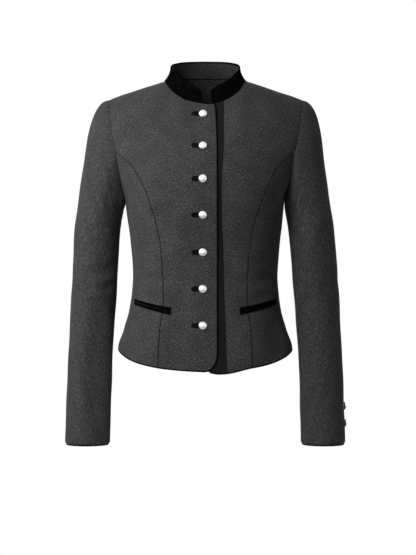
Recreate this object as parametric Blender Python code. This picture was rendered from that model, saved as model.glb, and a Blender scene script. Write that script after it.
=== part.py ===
"""A short fitted jacket with a velvet stand collar, as a maker would cut and sew it.

Lengths are written in millimetres and become metres in the meshes. +Z is up and
the front faces -Y. The origin is the middle of the neck hole at the height of the
shoulder-neck points, where the wearer's shoulders hold the jacket. "Right" and "left"
are the wearer's, so the right front, which laps over, lies towards -X.
"""

import math
from collections import namedtuple

import bmesh
import bpy
import numpy as np
from mathutils import Vector

MM = 0.001

CLOTH = 1.6
VELVET = 2.4
FACING = 1.2
SEAM_GAP = 0.3
TRIM_HEIGHT = 2.2

# The outer form of the body. Each row is one level section.
Section = namedtuple("Section", "z half_width front back")
SECTIONS = [
    Section(-520, 160.5, 112, 123),
    Section(-475, 156.5, 110, 118),
    Section(-445, 145.5, 107, 109),
    Section(-409, 137.0, 103, 99),
    Section(-373, 131.5, 101, 92),
    Section(-350, 129.9, 100, 90),
    Section(-319, 131.4, 102, 91),
    Section(-283, 134.8, 107, 95),
    Section(-247, 139.8, 115, 100),
    Section(-212, 144.0, 122, 103),
    Section(-182, 156.0, 123, 105),
    Section(-150, 168.0, 115, 105),
    Section(-122, 180.0, 104, 103),
    Section(-95, 189.0, 91, 99),
    Section(-60, 194.0, 73, 88),
    Section(-30, 195.0, 59, 78),
    Section(20, 195.0, 47, 60),
]
ROUNDNESS = 2.2

# The shoulder seam, from the neck to the sleeve, and how far the cloth takes to round over it.
Ridge = namedtuple("Ridge", "x z")
SHOULDER = [
    Ridge(73.5, 3),
    Ridge(89, -2),
    Ridge(110, -9),
    Ridge(131, -16),
    Ridge(154, -23),
    Ridge(174, -31),
    Ridge(200, -43),
]
SHOULDER_DROP = 60.0
SHOULDER_TIP = 174.0
NECK_HALF_WIDTH = 73.5
BACK_NECK_RISE = 46.5

# The neck seam and the collar's top edge, by angle round from the centre front.
Neckline = namedtuple("Neckline", "angle seam top")
NECKLINE = [
    Neckline(0, -42, -20.0),
    Neckline(6, -41.6, -17.6),
    Neckline(17, -39, -10.5),
    Neckline(30, -34, -3.0),
    Neckline(42, -27, 3.5),
    Neckline(57, -16, 14.0),
    Neckline(74, -3, 22.0),
    Neckline(90, 3, 28.0),
    Neckline(120, 10, 37.0),
    Neckline(150, 13, 43.0),
    Neckline(180, 13.5, 44.5),
]
COLLAR_TOP_HALF_WIDTH = 62.6
COLLAR_TOP_FRONT = 51.0
COLLAR_TOP_BACK = 50.0
FACING_TOP = 0.8
FACING_GAP = 0.45
COLLAR_END_RIGHT = 6.0
COLLAR_END_LEFT = 11.0
FREE_NECK_DROP = 1.8

# Where the neck seam's corners are, by angle from the centre front or the centre back.
FRONT_NECK_ANGLES = [10, 26, 42, 58, 74, 90]
LEFT_NECK_ANGLES = [42, 58, 74, 90]
BACK_NECK_ANGLES = [0, 15, 30, 45, 60, 75, 90]
SHOULDER_COLUMNS = 4

# The hem's height, by angle round from the centre front.
Hem = namedtuple("Hem", "angle z")
HEM = [
    Hem(0, -514.5),
    Hem(15, -512),
    Hem(30, -507),
    Hem(45, -500.5),
    Hem(60, -492),
    Hem(75, -482.5),
    Hem(90, -476.5),
    Hem(105, -474),
    Hem(120, -474.5),
    Hem(150, -478.5),
    Hem(180, -481),
]

# The armhole: at each height, its width as a share of the section's half width.
Armhole = namedtuple("Armhole", "z front back")
ARMHOLE = [
    Armhole(-212, 1.0, 1.0),
    Armhole(-205, 0.9895, 0.989),
    Armhole(-182, 0.965, 0.968),
    Armhole(-150, 0.925, 0.940),
    Armhole(-122, 0.888, 0.909),
    Armhole(-95, 0.879, 0.889),
    Armhole(-63, 0.878, 0.883),
    Armhole(-31, 0.8923, 0.8923),
]
ARMHOLE_MIDDLE = -121.5
ARMHOLE_HALF_HEIGHT = 90.5

# The seams that shape the waist, from just above the hem up to the armhole.
Seam = namedtuple("Seam", "x z")
FRONT_SEAM_HEM = 82.5
FRONT_SEAM = [
    Seam(80, -468),
    Seam(76.5, -425),
    Seam(72.8, -381),
    Seam(73.5, -344),
    Seam(77.5, -302),
    Seam(85.5, -260),
    Seam(91.5, -231),
    Seam(100, -204),
    Seam(109.5, -184),
    Seam(121, -166),
    Seam(132, -151),
    Seam(142.5, -140),
]
FRONT_SEAM_TOP = -128.0
BACK_SEAM_HEM = 108.0
BACK_SEAM = [
    Seam(103, -445),
    Seam(95, -400),
    Seam(92, -354),
    Seam(97, -310),
    Seam(108, -260),
    Seam(120, -215),
    Seam(133, -180),
    Seam(148, -150),
]
BACK_SEAM_TOP = -125.0

# The front edge, and the seam of the band that lies under it.
FRONT_EDGE = 21.0
EDGE_LEVEL = -116.0
HEM_CORNER = 20.0
NECK_CORNER = 6.0
BAND_HIDDEN_EDGE = 20.0
UNDERLAP_LONGER = 4.6
LONGER_RAMP = 14.0
LONGER_FADE = 48.0
BandSeam = namedtuple("BandSeam", "z x")
BAND_SEAM = [
    BandSeam(-518, 38.5),
    BandSeam(-470, 36.5),
    BandSeam(-430, 35),
    BandSeam(-360, 32.5),
    BandSeam(-300, 31.5),
    BandSeam(-235, 28.5),
    BandSeam(-185, 28.5),
    BandSeam(-118, 32),
    BandSeam(-40, 32.5),
]
UNDERLAP_DEPTH = CLOTH + SEAM_GAP
UNDERLAP_FULL = 26.0
UNDERLAP_FADE = 38.0

# The sleeve below the armhole. Each row is one level section.
SleeveSection = namedtuple("SleeveSection", "z x half_width y half_depth")
SLEEVE = [
    SleeveSection(-650, 210.0, 40.2, -33, 40),
    SleeveSection(-571, 208.8, 39.8, -19, 41),
    SleeveSection(-517, 207.4, 39.6, -9, 42),
    SleeveSection(-463, 205.2, 39.9, -1, 43),
    SleeveSection(-409, 202.2, 40.5, 5, 45),
    SleeveSection(-355, 198.5, 40.9, 8, 47),
    SleeveSection(-300, 194.3, 41.2, 7, 50),
    SleeveSection(-250, 189.2, 41.8, 5, 54),
]
SLEEVE_JOIN = -250.0
SLEEVE_HEM = -647.8
SLEEVE_START_GAP = 0.4
HIND_SEAM_CUFF = 128.0

# The pockets: each end of the mouth, and the height of one welt there.
Pocket = namedtuple("Pocket", "x z welt")
POCKET_INNER = Pocket(60.0, -409.0, 5.6)
POCKET_OUTER = Pocket(125.0, -393.0, 4.6)
POCKET_SLIT = 0.6
WELT = 1.3

BUTTON_X = -4.0
BUTTON_HEIGHTS = [-61, -119, -178, -241, -306, -370, -434]
BUTTON_RADIUS = 7.7
BUTTON_HEIGHT = 5.4
SHANK_RADIUS = 1.5
SHANK_DEPTH = 1.5
BUTTONHOLE_EYE = 2.1
BUTTONHOLE_SLIT = 0.5
BUTTONHOLE_LENGTH = 20.0
CUFF_BUTTON_RADIUS = 7.2
# The right sleeve hangs turned a little further back, so its buttons lie behind its outline.
CUFF_BUTTON_ANGLE = {"right": 114.0, "left": 98.0}
CUFF_BUTTON_HEIGHTS = [-580, -610]

# How finely each cloth is divided.
HEM_ROWS = [0, 2, 7, 14, 24]
BODY_LENGTH = 400.0
LOWER_ROWS = 14
UPPER_ROWS = 7
SIDE_COLUMNS = 8
SLEEVE_HEAD_ROWS = 6
SLEEVE_ROWS = 14
STEP = 0.002

right = -1
left = 1

for old in list(bpy.data.objects):
    bpy.data.objects.remove(old, do_unlink=True)


def finish(name, colour, roughness, metallic=0.0):
    """A plain material with one colour, roughness and metallic value."""
    material = bpy.data.materials.new(name)
    material.use_nodes = True
    shader = material.node_tree.nodes["Principled BSDF"]
    shader.inputs["Base Color"].default_value = (*colour, 1.0)
    shader.inputs["Roughness"].default_value = roughness
    shader.inputs["Metallic"].default_value = metallic
    return material


wool = finish("grey melange wool", (0.062, 0.058, 0.063), 0.85)
band_cloth = finish("smooth dark cloth", (0.012, 0.012, 0.013), 0.8)
velvet = finish("black velvet", (0.004, 0.004, 0.004), 0.95)
silver = finish("silver", (0.75, 0.74, 0.72), 0.3, 1.0)


def along(rows, column, place):
    """Read one column of a table at a place, on a curve with no overshoot."""
    where = [row[0] for row in rows]
    values = [getattr(row, column) for row in rows]
    return curve(where, values, place)


def curve(where, values, place):
    """A cubic through (where, value) pairs that goes straight on past both ends."""
    count = len(where)
    slopes = [(values[i + 1] - values[i]) / (where[i + 1] - where[i]) for i in range(count - 1)]
    tangents = [slopes[0]]
    for before, after in zip(slopes, slopes[1:]):
        same_way = before * after > 0
        tangents.append(2 * before * after / (before + after) if same_way else 0.0)
    tangents.append(slopes[-1])
    if place <= where[0]:
        return values[0] + tangents[0] * (place - where[0])
    if place >= where[-1]:
        return values[-1] + tangents[-1] * (place - where[-1])
    index = max(i for i in range(count - 1) if where[i] <= place)
    span = where[index + 1] - where[index]
    t = (place - where[index]) / span
    start = values[index] * (1 + 2 * t) * (1 - t) ** 2
    end = values[index + 1] * (3 - 2 * t) * t**2
    bend = tangents[index] * t * (1 - t) ** 2 - tangents[index + 1] * (1 - t) * t**2
    return start + end + bend * span


def mirrored_on(line, t):
    """A line on 0 to 1, carried on past its ends by turning it about them."""
    if t < 0:
        return 2 * line(0.0) - line(-t)
    if t > 1:
        return 2 * line(1.0) - line(2 - t)
    return line(t)


def blend(low, high, t):
    return low + (high - low) * t


def ease(t):
    t = min(max(t, 0.0), 1.0)
    return t * t * (3 - 2 * t)


def ridge_height(x, back):
    """The height at which the cloth turns from front to back, at a distance x from the middle."""
    x = abs(x)
    if x >= NECK_HALF_WIDTH:
        return along(SHOULDER, "z", x)
    rise = BACK_NECK_RISE * (1 - (x / NECK_HALF_WIDTH) ** 2) ** 0.75 if back else 0.0
    return SHOULDER[0].z + rise


def drop(turn):
    """How far below the ridge the cloth is: turn 0 is on it, and from 1 down it hangs."""
    if turn < 1:
        return SHOULDER_DROP * (1 - math.cos(turn * math.pi / 2))
    return SHOULDER_DROP * (1 + (turn - 1) * math.pi / 2)


def turn_at(x, z, back):
    below = ridge_height(x, back) - z
    if below < 0:
        return 0.0
    if below < SHOULDER_DROP:
        return math.acos(1 - below / SHOULDER_DROP) * 2 / math.pi
    return 1 + (below / SHOULDER_DROP - 1) * 2 / math.pi


def section_depth(x, z, back):
    reach = min(abs(x) / along(SECTIONS, "half_width", z), 1.0)
    depth = along(SECTIONS, "back" if back else "front", z)
    return depth * (1 - reach**ROUNDNESS) ** (1 / ROUNDNESS)


def draped(x, turn, back):
    """A point of the body's outer form, from its distance from the middle and its turn."""
    if turn < 0:
        turn = -turn
        back = not back
    z = ridge_height(x, back) - drop(turn)
    depth = section_depth(x, z, back) * math.sin(min(turn, 1.0) * math.pi / 2)
    return np.array([x, depth if back else -depth, z])


def wrapped(angle, z):
    """A point of the body's outer form, from its angle round from the front and its height."""
    turned = math.radians(angle)
    x = along(SECTIONS, "half_width", z) * abs(math.sin(turned)) ** (2 / ROUNDNESS)
    depth = along(SECTIONS, "back" if angle > 90 else "front", z)
    y = -depth * math.copysign(abs(math.cos(turned)) ** (2 / ROUNDNESS), math.cos(turned))
    return np.array([x, y, z])


def angle_at(x, z, back):
    reach = min(abs(x) / along(SECTIONS, "half_width", z), 1.0)
    angle = math.degrees(math.asin(reach ** (ROUNDNESS / 2)))
    return 180 - angle if back else angle


def hem_height(x, back):
    z = -490.0
    for _ in range(4):
        z = along(HEM, "z", angle_at(x, z, back))
    return z


def left_hem_height(x, back):
    """The left front hangs a little lower where it comes out from under the right one."""
    longer = ease(x / LONGER_RAMP) * (1 - ease((x - LONGER_FADE) / (FRONT_SEAM_HEM - LONGER_FADE)))
    return hem_height(x, back) - UNDERLAP_LONGER * longer


def armhole(angle):
    """Width and height of the armhole: 90 is its top, 0 its front, 180 its back."""
    z = ARMHOLE_MIDDLE + ARMHOLE_HALF_HEIGHT * math.sin(math.radians(angle))
    back = math.cos(math.radians(angle)) < 0
    share = along(ARMHOLE, "back" if back else "front", z)
    return min(share, 1.0) * along(SECTIONS, "half_width", z), z


def armhole_angle(z, back):
    angle = math.degrees(math.asin((z - ARMHOLE_MIDDLE) / ARMHOLE_HALF_HEIGHT))
    return 180 - angle if back else angle


def seam_line(rows, hem_x, top_z, back):
    """Width and height along a shaping seam, by the share of its length from the hem."""
    top_x = armhole(armhole_angle(top_z, back))[0]
    points = [(hem_x, hem_height(hem_x, back))] + [(row.x, row.z) for row in rows] + [(top_x, top_z)]
    travel = [0.0]
    for start, end in zip(points, points[1:]):
        travel.append(travel[-1] + math.dist(start, end))
    shares = [distance / travel[-1] for distance in travel]
    widths = [point[0] for point in points]
    heights = [point[1] for point in points]
    return lambda t: np.array([curve(shares, widths, t), curve(shares, heights, t)])


front_seam = seam_line(FRONT_SEAM, FRONT_SEAM_HEM, FRONT_SEAM_TOP, False)
back_seam = seam_line(BACK_SEAM, BACK_SEAM_HEM, BACK_SEAM_TOP, True)
FRONT_JUNCTION = armhole_angle(FRONT_SEAM_TOP, False)
BACK_JUNCTION = armhole_angle(BACK_SEAM_TOP, True)

lower_levels = [distance / BODY_LENGTH for distance in HEM_ROWS]
lower_levels += list(np.linspace(lower_levels[-1], 1, LOWER_ROWS + 1)[1:])
panel_levels = lower_levels + list(np.linspace(1, 2, UPPER_ROWS + 1)[1:])


def patch(near, far, bottom, top):
    """A surface map inside four lines that meet at its corners."""

    def place(u, v, share):
        corners = (
            (1 - u) * ((1 - share) * near(0.0) + share * near(1.0))
            + u * ((1 - share) * far(0.0) + share * far(1.0))
        )
        across = (1 - u) * mirrored_on(near, v) + u * mirrored_on(far, v)
        upwards = (1 - share) * mirrored_on(bottom, u) + share * mirrored_on(top, u)
        return across + upwards - corners

    return place


def neck_angle(x):
    return math.degrees(math.asin(max(min(x / NECK_HALF_WIDTH, 1.0), -1.0)))


def neck_seam_height(x, back):
    angle = abs(neck_angle(x))
    return along(NECKLINE, "seam", 180 - angle if back else angle)


def shoulder_panel(
    edge, back, seam, junction, neck_angles, top_edge=neck_seam_height, low_edge=hem_height
):
    """Where a front or back lies: from its inner edge out to the shaping seam and the armhole.

    edge gives the inner edge's width by height. Level 0 is the hem, 1 the height where the
    seam meets the armhole, and 2 the neck and shoulder.
    """
    neck_share = (len(neck_angles) - 1) / (len(neck_angles) - 1 + SHOULDER_COLUMNS)

    def spot(x, z):
        return np.array([x, turn_at(x, z, back)])

    hem_x = edge(low_edge(edge(-500.0), back))
    hem_z = low_edge(hem_x, back)
    neck_x = edge(top_edge(edge(-50.0), back))
    neck_z = top_edge(neck_x, back)

    def near(t):
        level = 2 * t
        z = blend(hem_z, EDGE_LEVEL, level) if level < 1 else blend(EDGE_LEVEL, neck_z, level - 1)
        return spot(edge(z), z)

    def far(t):
        level = 2 * t
        if level < 1:
            return spot(*seam(level))
        return spot(*armhole(blend(junction, 90.0, level - 1)))

    def bottom(t):
        x = blend(hem_x, seam(0.0)[0], t)
        return spot(x, low_edge(x, back))

    def top(t):
        if t < neck_share:
            place_along = t / neck_share * (len(neck_angles) - 1)
            angle = np.interp(place_along, range(len(neck_angles)), neck_angles)
            x = NECK_HALF_WIDTH * math.sin(math.radians(angle))
            return spot(x, top_edge(x, back))
        x = blend(NECK_HALF_WIDTH, SHOULDER_TIP, (t - neck_share) / (1 - neck_share))
        return np.array([x, 0.0])

    cover = patch(near, far, bottom, top)
    return lambda u, v: draped(*cover(u, v / 2, v / 2), back)


def side_panel(u, v):
    """Where a side lies: from the front shaping seam round under the arm to the back one."""

    def spot(x, z, back):
        return np.array([angle_at(x, z, back), z])

    def near(t):
        return spot(*front_seam(t), False)

    def far(t):
        return spot(*back_seam(t), True)

    def bottom(t):
        angle = blend(near(0.0)[0], far(0.0)[0], t)
        return np.array([angle, along(HEM, "z", angle)])

    def top(t):
        angle = blend(FRONT_JUNCTION, BACK_JUNCTION - 360.0, t)
        return spot(*armhole(angle), angle < -90)

    return wrapped(*patch(near, far, bottom, top)(u, v, v))


def underlap(x):
    """How far the left front lies inside the body's outer form, where the right one covers it."""
    return UNDERLAP_DEPTH * (1 - ease((x - UNDERLAP_FULL) / UNDERLAP_FADE))


def normal_at(place, u, v, centre):
    across = place(u + STEP, v) - place(u - STEP, v)
    upwards = place(u, v + STEP) - place(u, v - STEP)
    normal = np.cross(across, upwards)
    normal = normal / np.linalg.norm(normal)
    outwards = place(u, v) - centre(place(u, v))
    return normal if np.dot(normal, outwards) > 0 else -normal


def body_centre(point):
    """A place inside the body that every outward direction points away from."""
    return np.array([0.55 * point[0], 0.0, point[2] - 40.0])


def lay(place, columns, levels, thickness, centre=body_centre, depth=None):
    """Grids of the outer and inner points of a cloth, row by row from the hem up."""
    outer = []
    inner = []
    for v in levels:
        outer_row = []
        inner_row = []
        for u in columns:
            point = place(u, v)
            normal = normal_at(place, u, v, centre)
            if depth:
                point = point - normal * depth(point)
            outer_row.append(point)
            inner_row.append(point - normal * thickness)
        outer.append(outer_row)
        inner.append(inner_row)
    return np.array(outer), np.array(inner)


def trim(grids, bottom=0.0, top=0.0, near=0.0, far=0.0):
    """Pull a cloth's edges in, so that it ends just short of the seam."""
    for grid in grids:
        for amount, edge, inside in (
            (bottom, grid[0], grid[1]),
            (top, grid[-1], grid[-2]),
            (near, grid[:, 0], grid[:, 1]),
            (far, grid[:, -1], grid[:, -2]),
        ):
            way = inside - edge
            edge += amount * way / np.linalg.norm(way, axis=1, keepdims=True)
    return grids


def sided(grids, side):
    return [grid * np.array([side, 1, 1]) for grid in grids]


def body_from(name, points, faces, material):
    """One closed body from its corner points and faces, with its faces pointing outwards."""
    mesh = bpy.data.meshes.new(name)
    shape = bmesh.new()
    corners = [shape.verts.new(Vector(point) * MM) for point in points]
    for face in faces:
        shape.faces.new([corners[index] for index in face])
    if shape.calc_volume(signed=True) < 0:
        bmesh.ops.reverse_faces(shape, faces=shape.faces)
    shape.to_mesh(mesh)
    shape.free()
    mesh.materials.append(material)
    body = bpy.data.objects.new(name, mesh)
    bpy.context.scene.collection.objects.link(body)
    return body


def wall(name, grids, material, closed=False):
    """A cloth between its outer and inner points. A closed one goes right round."""
    outer, inner = grids
    rows, columns = outer.shape[:2]
    points = [*outer.reshape(-1, 3), *inner.reshape(-1, 3)]
    inside = rows * columns
    turns = columns if closed else columns - 1
    faces = []
    for row in range(rows - 1):
        for column in range(turns):
            after = (column + 1) % columns
            a, b = row * columns + column, row * columns + after
            c, d = b + columns, a + columns
            faces.append((a, b, c, d))
            faces.append((inside + d, inside + c, inside + b, inside + a))
    for row in (0, rows - 1):
        for column in range(turns):
            a, b = row * columns + column, row * columns + (column + 1) % columns
            face = (a, inside + a, inside + b, b)
            faces.append(face if row == 0 else face[::-1])
    for column in () if closed else (0, columns - 1):
        for row in range(rows - 1):
            a, b = row * columns + column, (row + 1) * columns + column
            face = (a, b, inside + b, inside + a)
            faces.append(face if column == 0 else face[::-1])
    return body_from(name, points, faces, material)


def lathe(name, profile, origin, axis, sides, material):
    """A turned piece from (radius, height) pairs, standing on its axis."""
    axis = Vector(axis).normalized()
    across = axis.orthogonal().normalized()
    beside = axis.cross(across)
    points = []
    rings = []
    for radius, height in profile:
        if radius == 0:
            rings.append([len(points)])
            points.append(Vector(origin) + axis * height)
            continue
        rings.append(list(range(len(points), len(points) + sides)))
        for index in range(sides):
            angle = 2 * math.pi * index / sides
            reach = across * math.cos(angle) + beside * math.sin(angle)
            points.append(Vector(origin) + axis * height + reach * radius)
    faces = []
    for low, high in zip(rings, rings[1:]):
        for index in range(sides):
            after = (index + 1) % sides
            if len(low) == 1:
                faces.append((low[0], high[after], high[index]))
            elif len(high) == 1:
                faces.append((low[index], low[after], high[0]))
            else:
                faces.append((low[index], low[after], high[after], high[index]))
    return body_from(name, points, faces, material)


def right_neck_edge(x, back):
    """The neck seam of the right front, which runs on a little lower past the collar's end."""
    return neck_seam_height(x, back) - FREE_NECK_DROP * ease((COLLAR_END_RIGHT - x) / COLLAR_END_LEFT)


def right_front_edge(z):
    """The over-lapping front's free edge, with its two rounded corners."""
    hem = hem_height(FRONT_EDGE, False)
    neck = right_neck_edge(-FRONT_EDGE, False)
    low = HEM_CORNER - min(max(z - hem, 0.0), HEM_CORNER)
    high = NECK_CORNER - min(max(neck - z, 0.0), NECK_CORNER)
    inset = HEM_CORNER - math.sqrt(HEM_CORNER**2 - low**2)
    inset += NECK_CORNER - math.sqrt(NECK_CORNER**2 - high**2)
    return -FRONT_EDGE + inset


def band_seam(z):
    return along(BAND_SEAM, "x", z)


def shares(neck_angles):
    """A panel's columns: one to each corner of its neck seam, then even ones to the armhole."""
    return np.linspace(0, 1, len(neck_angles) + SHOULDER_COLUMNS)


def make_front_right():
    corner = right_front_edge(right_neck_edge(-FRONT_EDGE, False))
    neck_angles = [neck_angle(corner), neck_angle(COLLAR_END_RIGHT), *FRONT_NECK_ANGLES]
    place = shoulder_panel(
        right_front_edge, False, front_seam, FRONT_JUNCTION, neck_angles, right_neck_edge
    )
    grids = lay(place, shares(neck_angles), panel_levels, CLOTH)
    trim(grids, top=SEAM_GAP / 2, far=SEAM_GAP / 2)
    grids = sided(grids, right)
    front = wall("front_right", grids, wool)
    return front, grids


def make_front_left():
    neck_angles = [neck_angle(BAND_SEAM[-1].x), *LEFT_NECK_ANGLES]
    place = shoulder_panel(
        band_seam, False, front_seam, FRONT_JUNCTION, neck_angles, low_edge=left_hem_height
    )
    grids = lay(
        place,
        shares(neck_angles),
        panel_levels,
        CLOTH,
        depth=lambda point: underlap(point[0]),
    )
    trim(grids, top=SEAM_GAP / 2, near=SEAM_GAP / 2, far=SEAM_GAP / 2)
    wall("front_left", grids, wool)
    return grids


def make_band():
    """The strip under the right front that carries the buttons."""

    def place(u, v):
        below = v < 1
        seam_hem = left_hem_height(band_seam(-500.0), False)
        seam_neck = neck_seam_height(band_seam(-50.0), False)
        level = blend(seam_hem, EDGE_LEVEL, v) if below else blend(EDGE_LEVEL, seam_neck, v - 1)
        x = blend(-BAND_HIDDEN_EDGE, band_seam(level), u)
        if below:
            z = blend(left_hem_height(x, False), EDGE_LEVEL, v)
        else:
            z = blend(EDGE_LEVEL, neck_seam_height(x, False), v - 1)
        return draped(x, turn_at(x, z, False), False)

    grids = lay(
        place,
        np.linspace(0, 1, 5),
        panel_levels,
        CLOTH,
        depth=lambda point: underlap(point[0]),
    )
    trim(grids, top=SEAM_GAP / 2, far=SEAM_GAP / 2)
    wall("button_band", grids, band_cloth)
    return grids


def make_backs():
    place = shoulder_panel(lambda z: 0.0, True, back_seam, BACK_JUNCTION, BACK_NECK_ANGLES)
    grids = lay(place, shares(BACK_NECK_ANGLES), panel_levels, CLOTH)
    trim(grids, top=SEAM_GAP / 2, near=SEAM_GAP / 2, far=SEAM_GAP / 2)
    wall("back_right", sided(grids, right), wool)
    wall("back_left", grids, wool)
    return grids


def make_sides():
    grids = lay(side_panel, np.linspace(0, 1, SIDE_COLUMNS + 1), lower_levels, CLOTH)
    trim(grids, top=SEAM_GAP / 2, near=SEAM_GAP / 2, far=SEAM_GAP / 2)
    wall("side_right", sided(grids, right), wool)
    wall("side_left", grids, wool)
    return grids


def sleeve_ring(angle, z):
    turned = math.radians(angle)
    x = along(SLEEVE, "x", z) + along(SLEEVE, "half_width", z) * math.sin(turned)
    y = along(SLEEVE, "y", z) - along(SLEEVE, "half_depth", z) * math.cos(turned)
    return np.array([x, y, z])


def sleeve_point(angle, level):
    """Level 0 is the armhole, 1 the first level ring below it, and 2 the cuff."""
    if level > 1:
        return sleeve_ring(angle, blend(SLEEVE_JOIN, SLEEVE_HEM, level - 1))
    x, z = armhole(angle)
    back = math.cos(math.radians(angle)) < 0
    start = draped(x, turn_at(x, z, back), back) + np.array([SLEEVE_START_GAP, 0, 0])
    end = sleeve_ring(angle, SLEEVE_JOIN)
    reach = np.linalg.norm(end - start)
    lift = (1 + math.sin(math.radians(angle))) / 2
    sideways = lift**1.5
    forwards = -0.1 * math.cos(math.radians(angle))
    leaving = np.array([0.08 + 0.96 * sideways, forwards, 0.92 * sideways - 1])
    arriving = np.array([0.14, 0.03, -1.0])
    leaving = leaving * reach * (1 - 0.45 * lift)
    arriving = arriving * reach * 0.9
    t = level
    return (
        start * (1 + 2 * t) * (1 - t) ** 2
        + end * (3 - 2 * t) * t**2
        + leaving * t * (1 - t) ** 2
        - arriving * (1 - t) * t**2
    )


def sleeve_centre(point):
    z = min(point[2] - 20.0, SLEEVE_JOIN)
    if point[2] < SLEEVE_JOIN:
        z = point[2]
    return np.array([along(SLEEVE, "x", z), along(SLEEVE, "y", z), z])


ring_angles = [
    *np.linspace(90, FRONT_JUNCTION, UPPER_ROWS + 1),
    *np.linspace(FRONT_JUNCTION, BACK_JUNCTION - 360, SIDE_COLUMNS + 1)[1:],
    *np.linspace(BACK_JUNCTION - 360, -270, UPPER_ROWS + 1)[1:],
]
FRONT_SEAM_COLUMN = UPPER_ROWS + 3
HIND_SEAM_COLUMN = len(ring_angles) - 4


def sleeve_piece(first, last):
    """A sleeve cloth between two of the ring's columns, counted round from the top to the front."""
    hind = ring_angles[HIND_SEAM_COLUMN]

    def place(u, v):
        column = blend(first, last, u)
        angle = np.interp(column, range(len(ring_angles)), ring_angles)
        if column < 0:
            back_column = len(ring_angles) - 1 + column
            angle = np.interp(back_column, range(len(ring_angles)), ring_angles) + 360
        # The hind seam slides from behind the shoulder to the outside of the cuff.
        slide = (HIND_SEAM_CUFF - 360 - hind) * ease(v / 2)
        after = angle if angle <= 0 else angle - 360
        share = math.exp(-(((after - hind) / 60.0) ** 2))
        return sleeve_point(angle + slide * share, v)

    levels = [*np.linspace(0, 1, SLEEVE_HEAD_ROWS + 1), *np.linspace(1, 2, SLEEVE_ROWS + 1)[1:]]
    columns = np.linspace(0, 1, last - first + 1)
    grids = lay(place, columns, levels, CLOTH, centre=sleeve_centre)
    return trim(grids, near=SEAM_GAP / 2, far=SEAM_GAP / 2)


def make_sleeves():
    top = sleeve_piece(HIND_SEAM_COLUMN - len(ring_angles) + 1, FRONT_SEAM_COLUMN)
    under = sleeve_piece(FRONT_SEAM_COLUMN, HIND_SEAM_COLUMN)
    for side, name in ((right, "right"), (left, "left")):
        wall(f"top_sleeve_{name}", sided(top, side), wool)
        wall(f"under_sleeve_{name}", sided(under, side), wool)
    return top, under


def make_collar():
    """The stand collar: velvet outside, cloth inside, from one front end round to the other."""

    back = [180 - angle for angle in reversed(BACK_NECK_ANGLES)]
    to_back = [neck_angle(COLLAR_END_RIGHT), *FRONT_NECK_ANGLES[:-1], *back]
    to_front = [360 - angle for angle in (*back[-2::-1], *LEFT_NECK_ANGLES[-2::-1])]
    ends = [360 - neck_angle(BAND_SEAM[-1].x), 360 - neck_angle(COLLAR_END_LEFT)]
    turns = [-angle for angle in (*to_back, *to_front, *ends)]

    def place(u, v):
        angle = np.interp(u * (len(turns) - 1), range(len(turns)), turns)
        turned = math.radians(angle)
        away = math.degrees(math.acos(max(min(math.cos(turned), 1.0), -1.0)))
        back = away > 90
        x = NECK_HALF_WIDTH * math.sin(turned)
        z = along(NECKLINE, "seam", away)
        low = draped(x, turn_at(x, z, back), back)
        depth = COLLAR_TOP_BACK if back else COLLAR_TOP_FRONT
        high = np.array(
            [COLLAR_TOP_HALF_WIDTH * math.sin(turned), -depth * math.cos(turned), along(NECKLINE, "top", away)]
        )
        return blend(low, high, v)

    def centre(point):
        return np.array([0.2 * point[0], 0.2 * point[1], point[2] - 10.0])

    columns = np.linspace(0, 1, len(turns))
    grids = lay(place, columns, np.linspace(0, 1, 4), VELVET, centre)
    trim(grids, bottom=SEAM_GAP / 2)
    wall("collar_velvet", grids, velvet)
    outer, inner = grids
    inwards = (inner - outer) / VELVET
    inside = [inner + inwards * FACING_GAP, inner + inwards * (FACING_GAP + FACING)]
    for grid in inside:
        grid[-1] = blend(grid[-2], grid[-1], FACING_TOP)
    trim(inside, near=SEAM_GAP, far=SEAM_GAP)
    wall("collar_facing", inside, wool)


def make_neck_facing(back_grids):
    """The strip inside the back of the neck, which shows through the collar."""
    rows = slice(-4, None)
    reach = 5
    outer, inner = (grid[rows, :reach] for grid in back_grids)
    inwards = (inner - outer) / CLOTH
    half = [inner + inwards * SEAM_GAP, inner + inwards * (SEAM_GAP + FACING)]
    half[0][-1, :, 2] -= 1.0
    half[1][-1, :, 2] -= 1.0
    mirror = np.array([-1, 1, 1])
    whole = []
    for grid in half:
        middle = grid[:, :1] * np.array([0, 1, 1])
        whole.append(np.concatenate([grid[:, :0:-1] * mirror, middle, grid[:, 1:]], axis=1))
    wall("back_neck_facing", whole, wool)


def make_welts():
    """Two narrow velvet lips along each pocket mouth, laid on the front and side."""
    for side, side_name in ((right, "right"), (left, "left")):
        for upper, name in ((True, "upper"), (False, "lower")):

            def place(u, v):
                x = blend(POCKET_INNER.x, POCKET_OUTER.x, u)
                mouth = blend(POCKET_INNER.z, POCKET_OUTER.z, u)
                height = blend(POCKET_INNER.welt, POCKET_OUTER.welt, u)
                away = POCKET_SLIT / 2 + height * v
                z = mouth + (away if upper else -away)
                return wrapped(angle_at(x, z, False), z)

            grids = lay(
                place, np.linspace(0, 1, 10), [0.0, 0.5, 1.0], WELT, depth=lambda point: -(WELT + SEAM_GAP)
            )
            wall(f"pocket_welt_{name}_{side_name}", sided(grids, side), velvet)


def edging(name, runs, closed=False):
    """A narrow velvet edge just outside a cloth's own edge.

    Each run is a list of (outer point, inner point, way out) along the edge.
    """
    outer = np.array([[point + way * reach for point, _, way in runs] for reach in (SEAM_GAP, TRIM_HEIGHT)])
    inner = np.array([[point + way * reach for _, point, way in runs] for reach in (SEAM_GAP, TRIM_HEIGHT)])
    return wall(name, (outer, inner), velvet, closed)


def edge_run(grids, edge, inside):
    """The points along one edge of a cloth, each with the way out from it."""
    outer, inner = grids
    run = []
    for point, under, neighbour in zip(outer[edge], inner[edge], outer[inside]):
        way = point - neighbour
        run.append([point, under, way / np.linalg.norm(way)])
    return run


every = slice(None)


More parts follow.
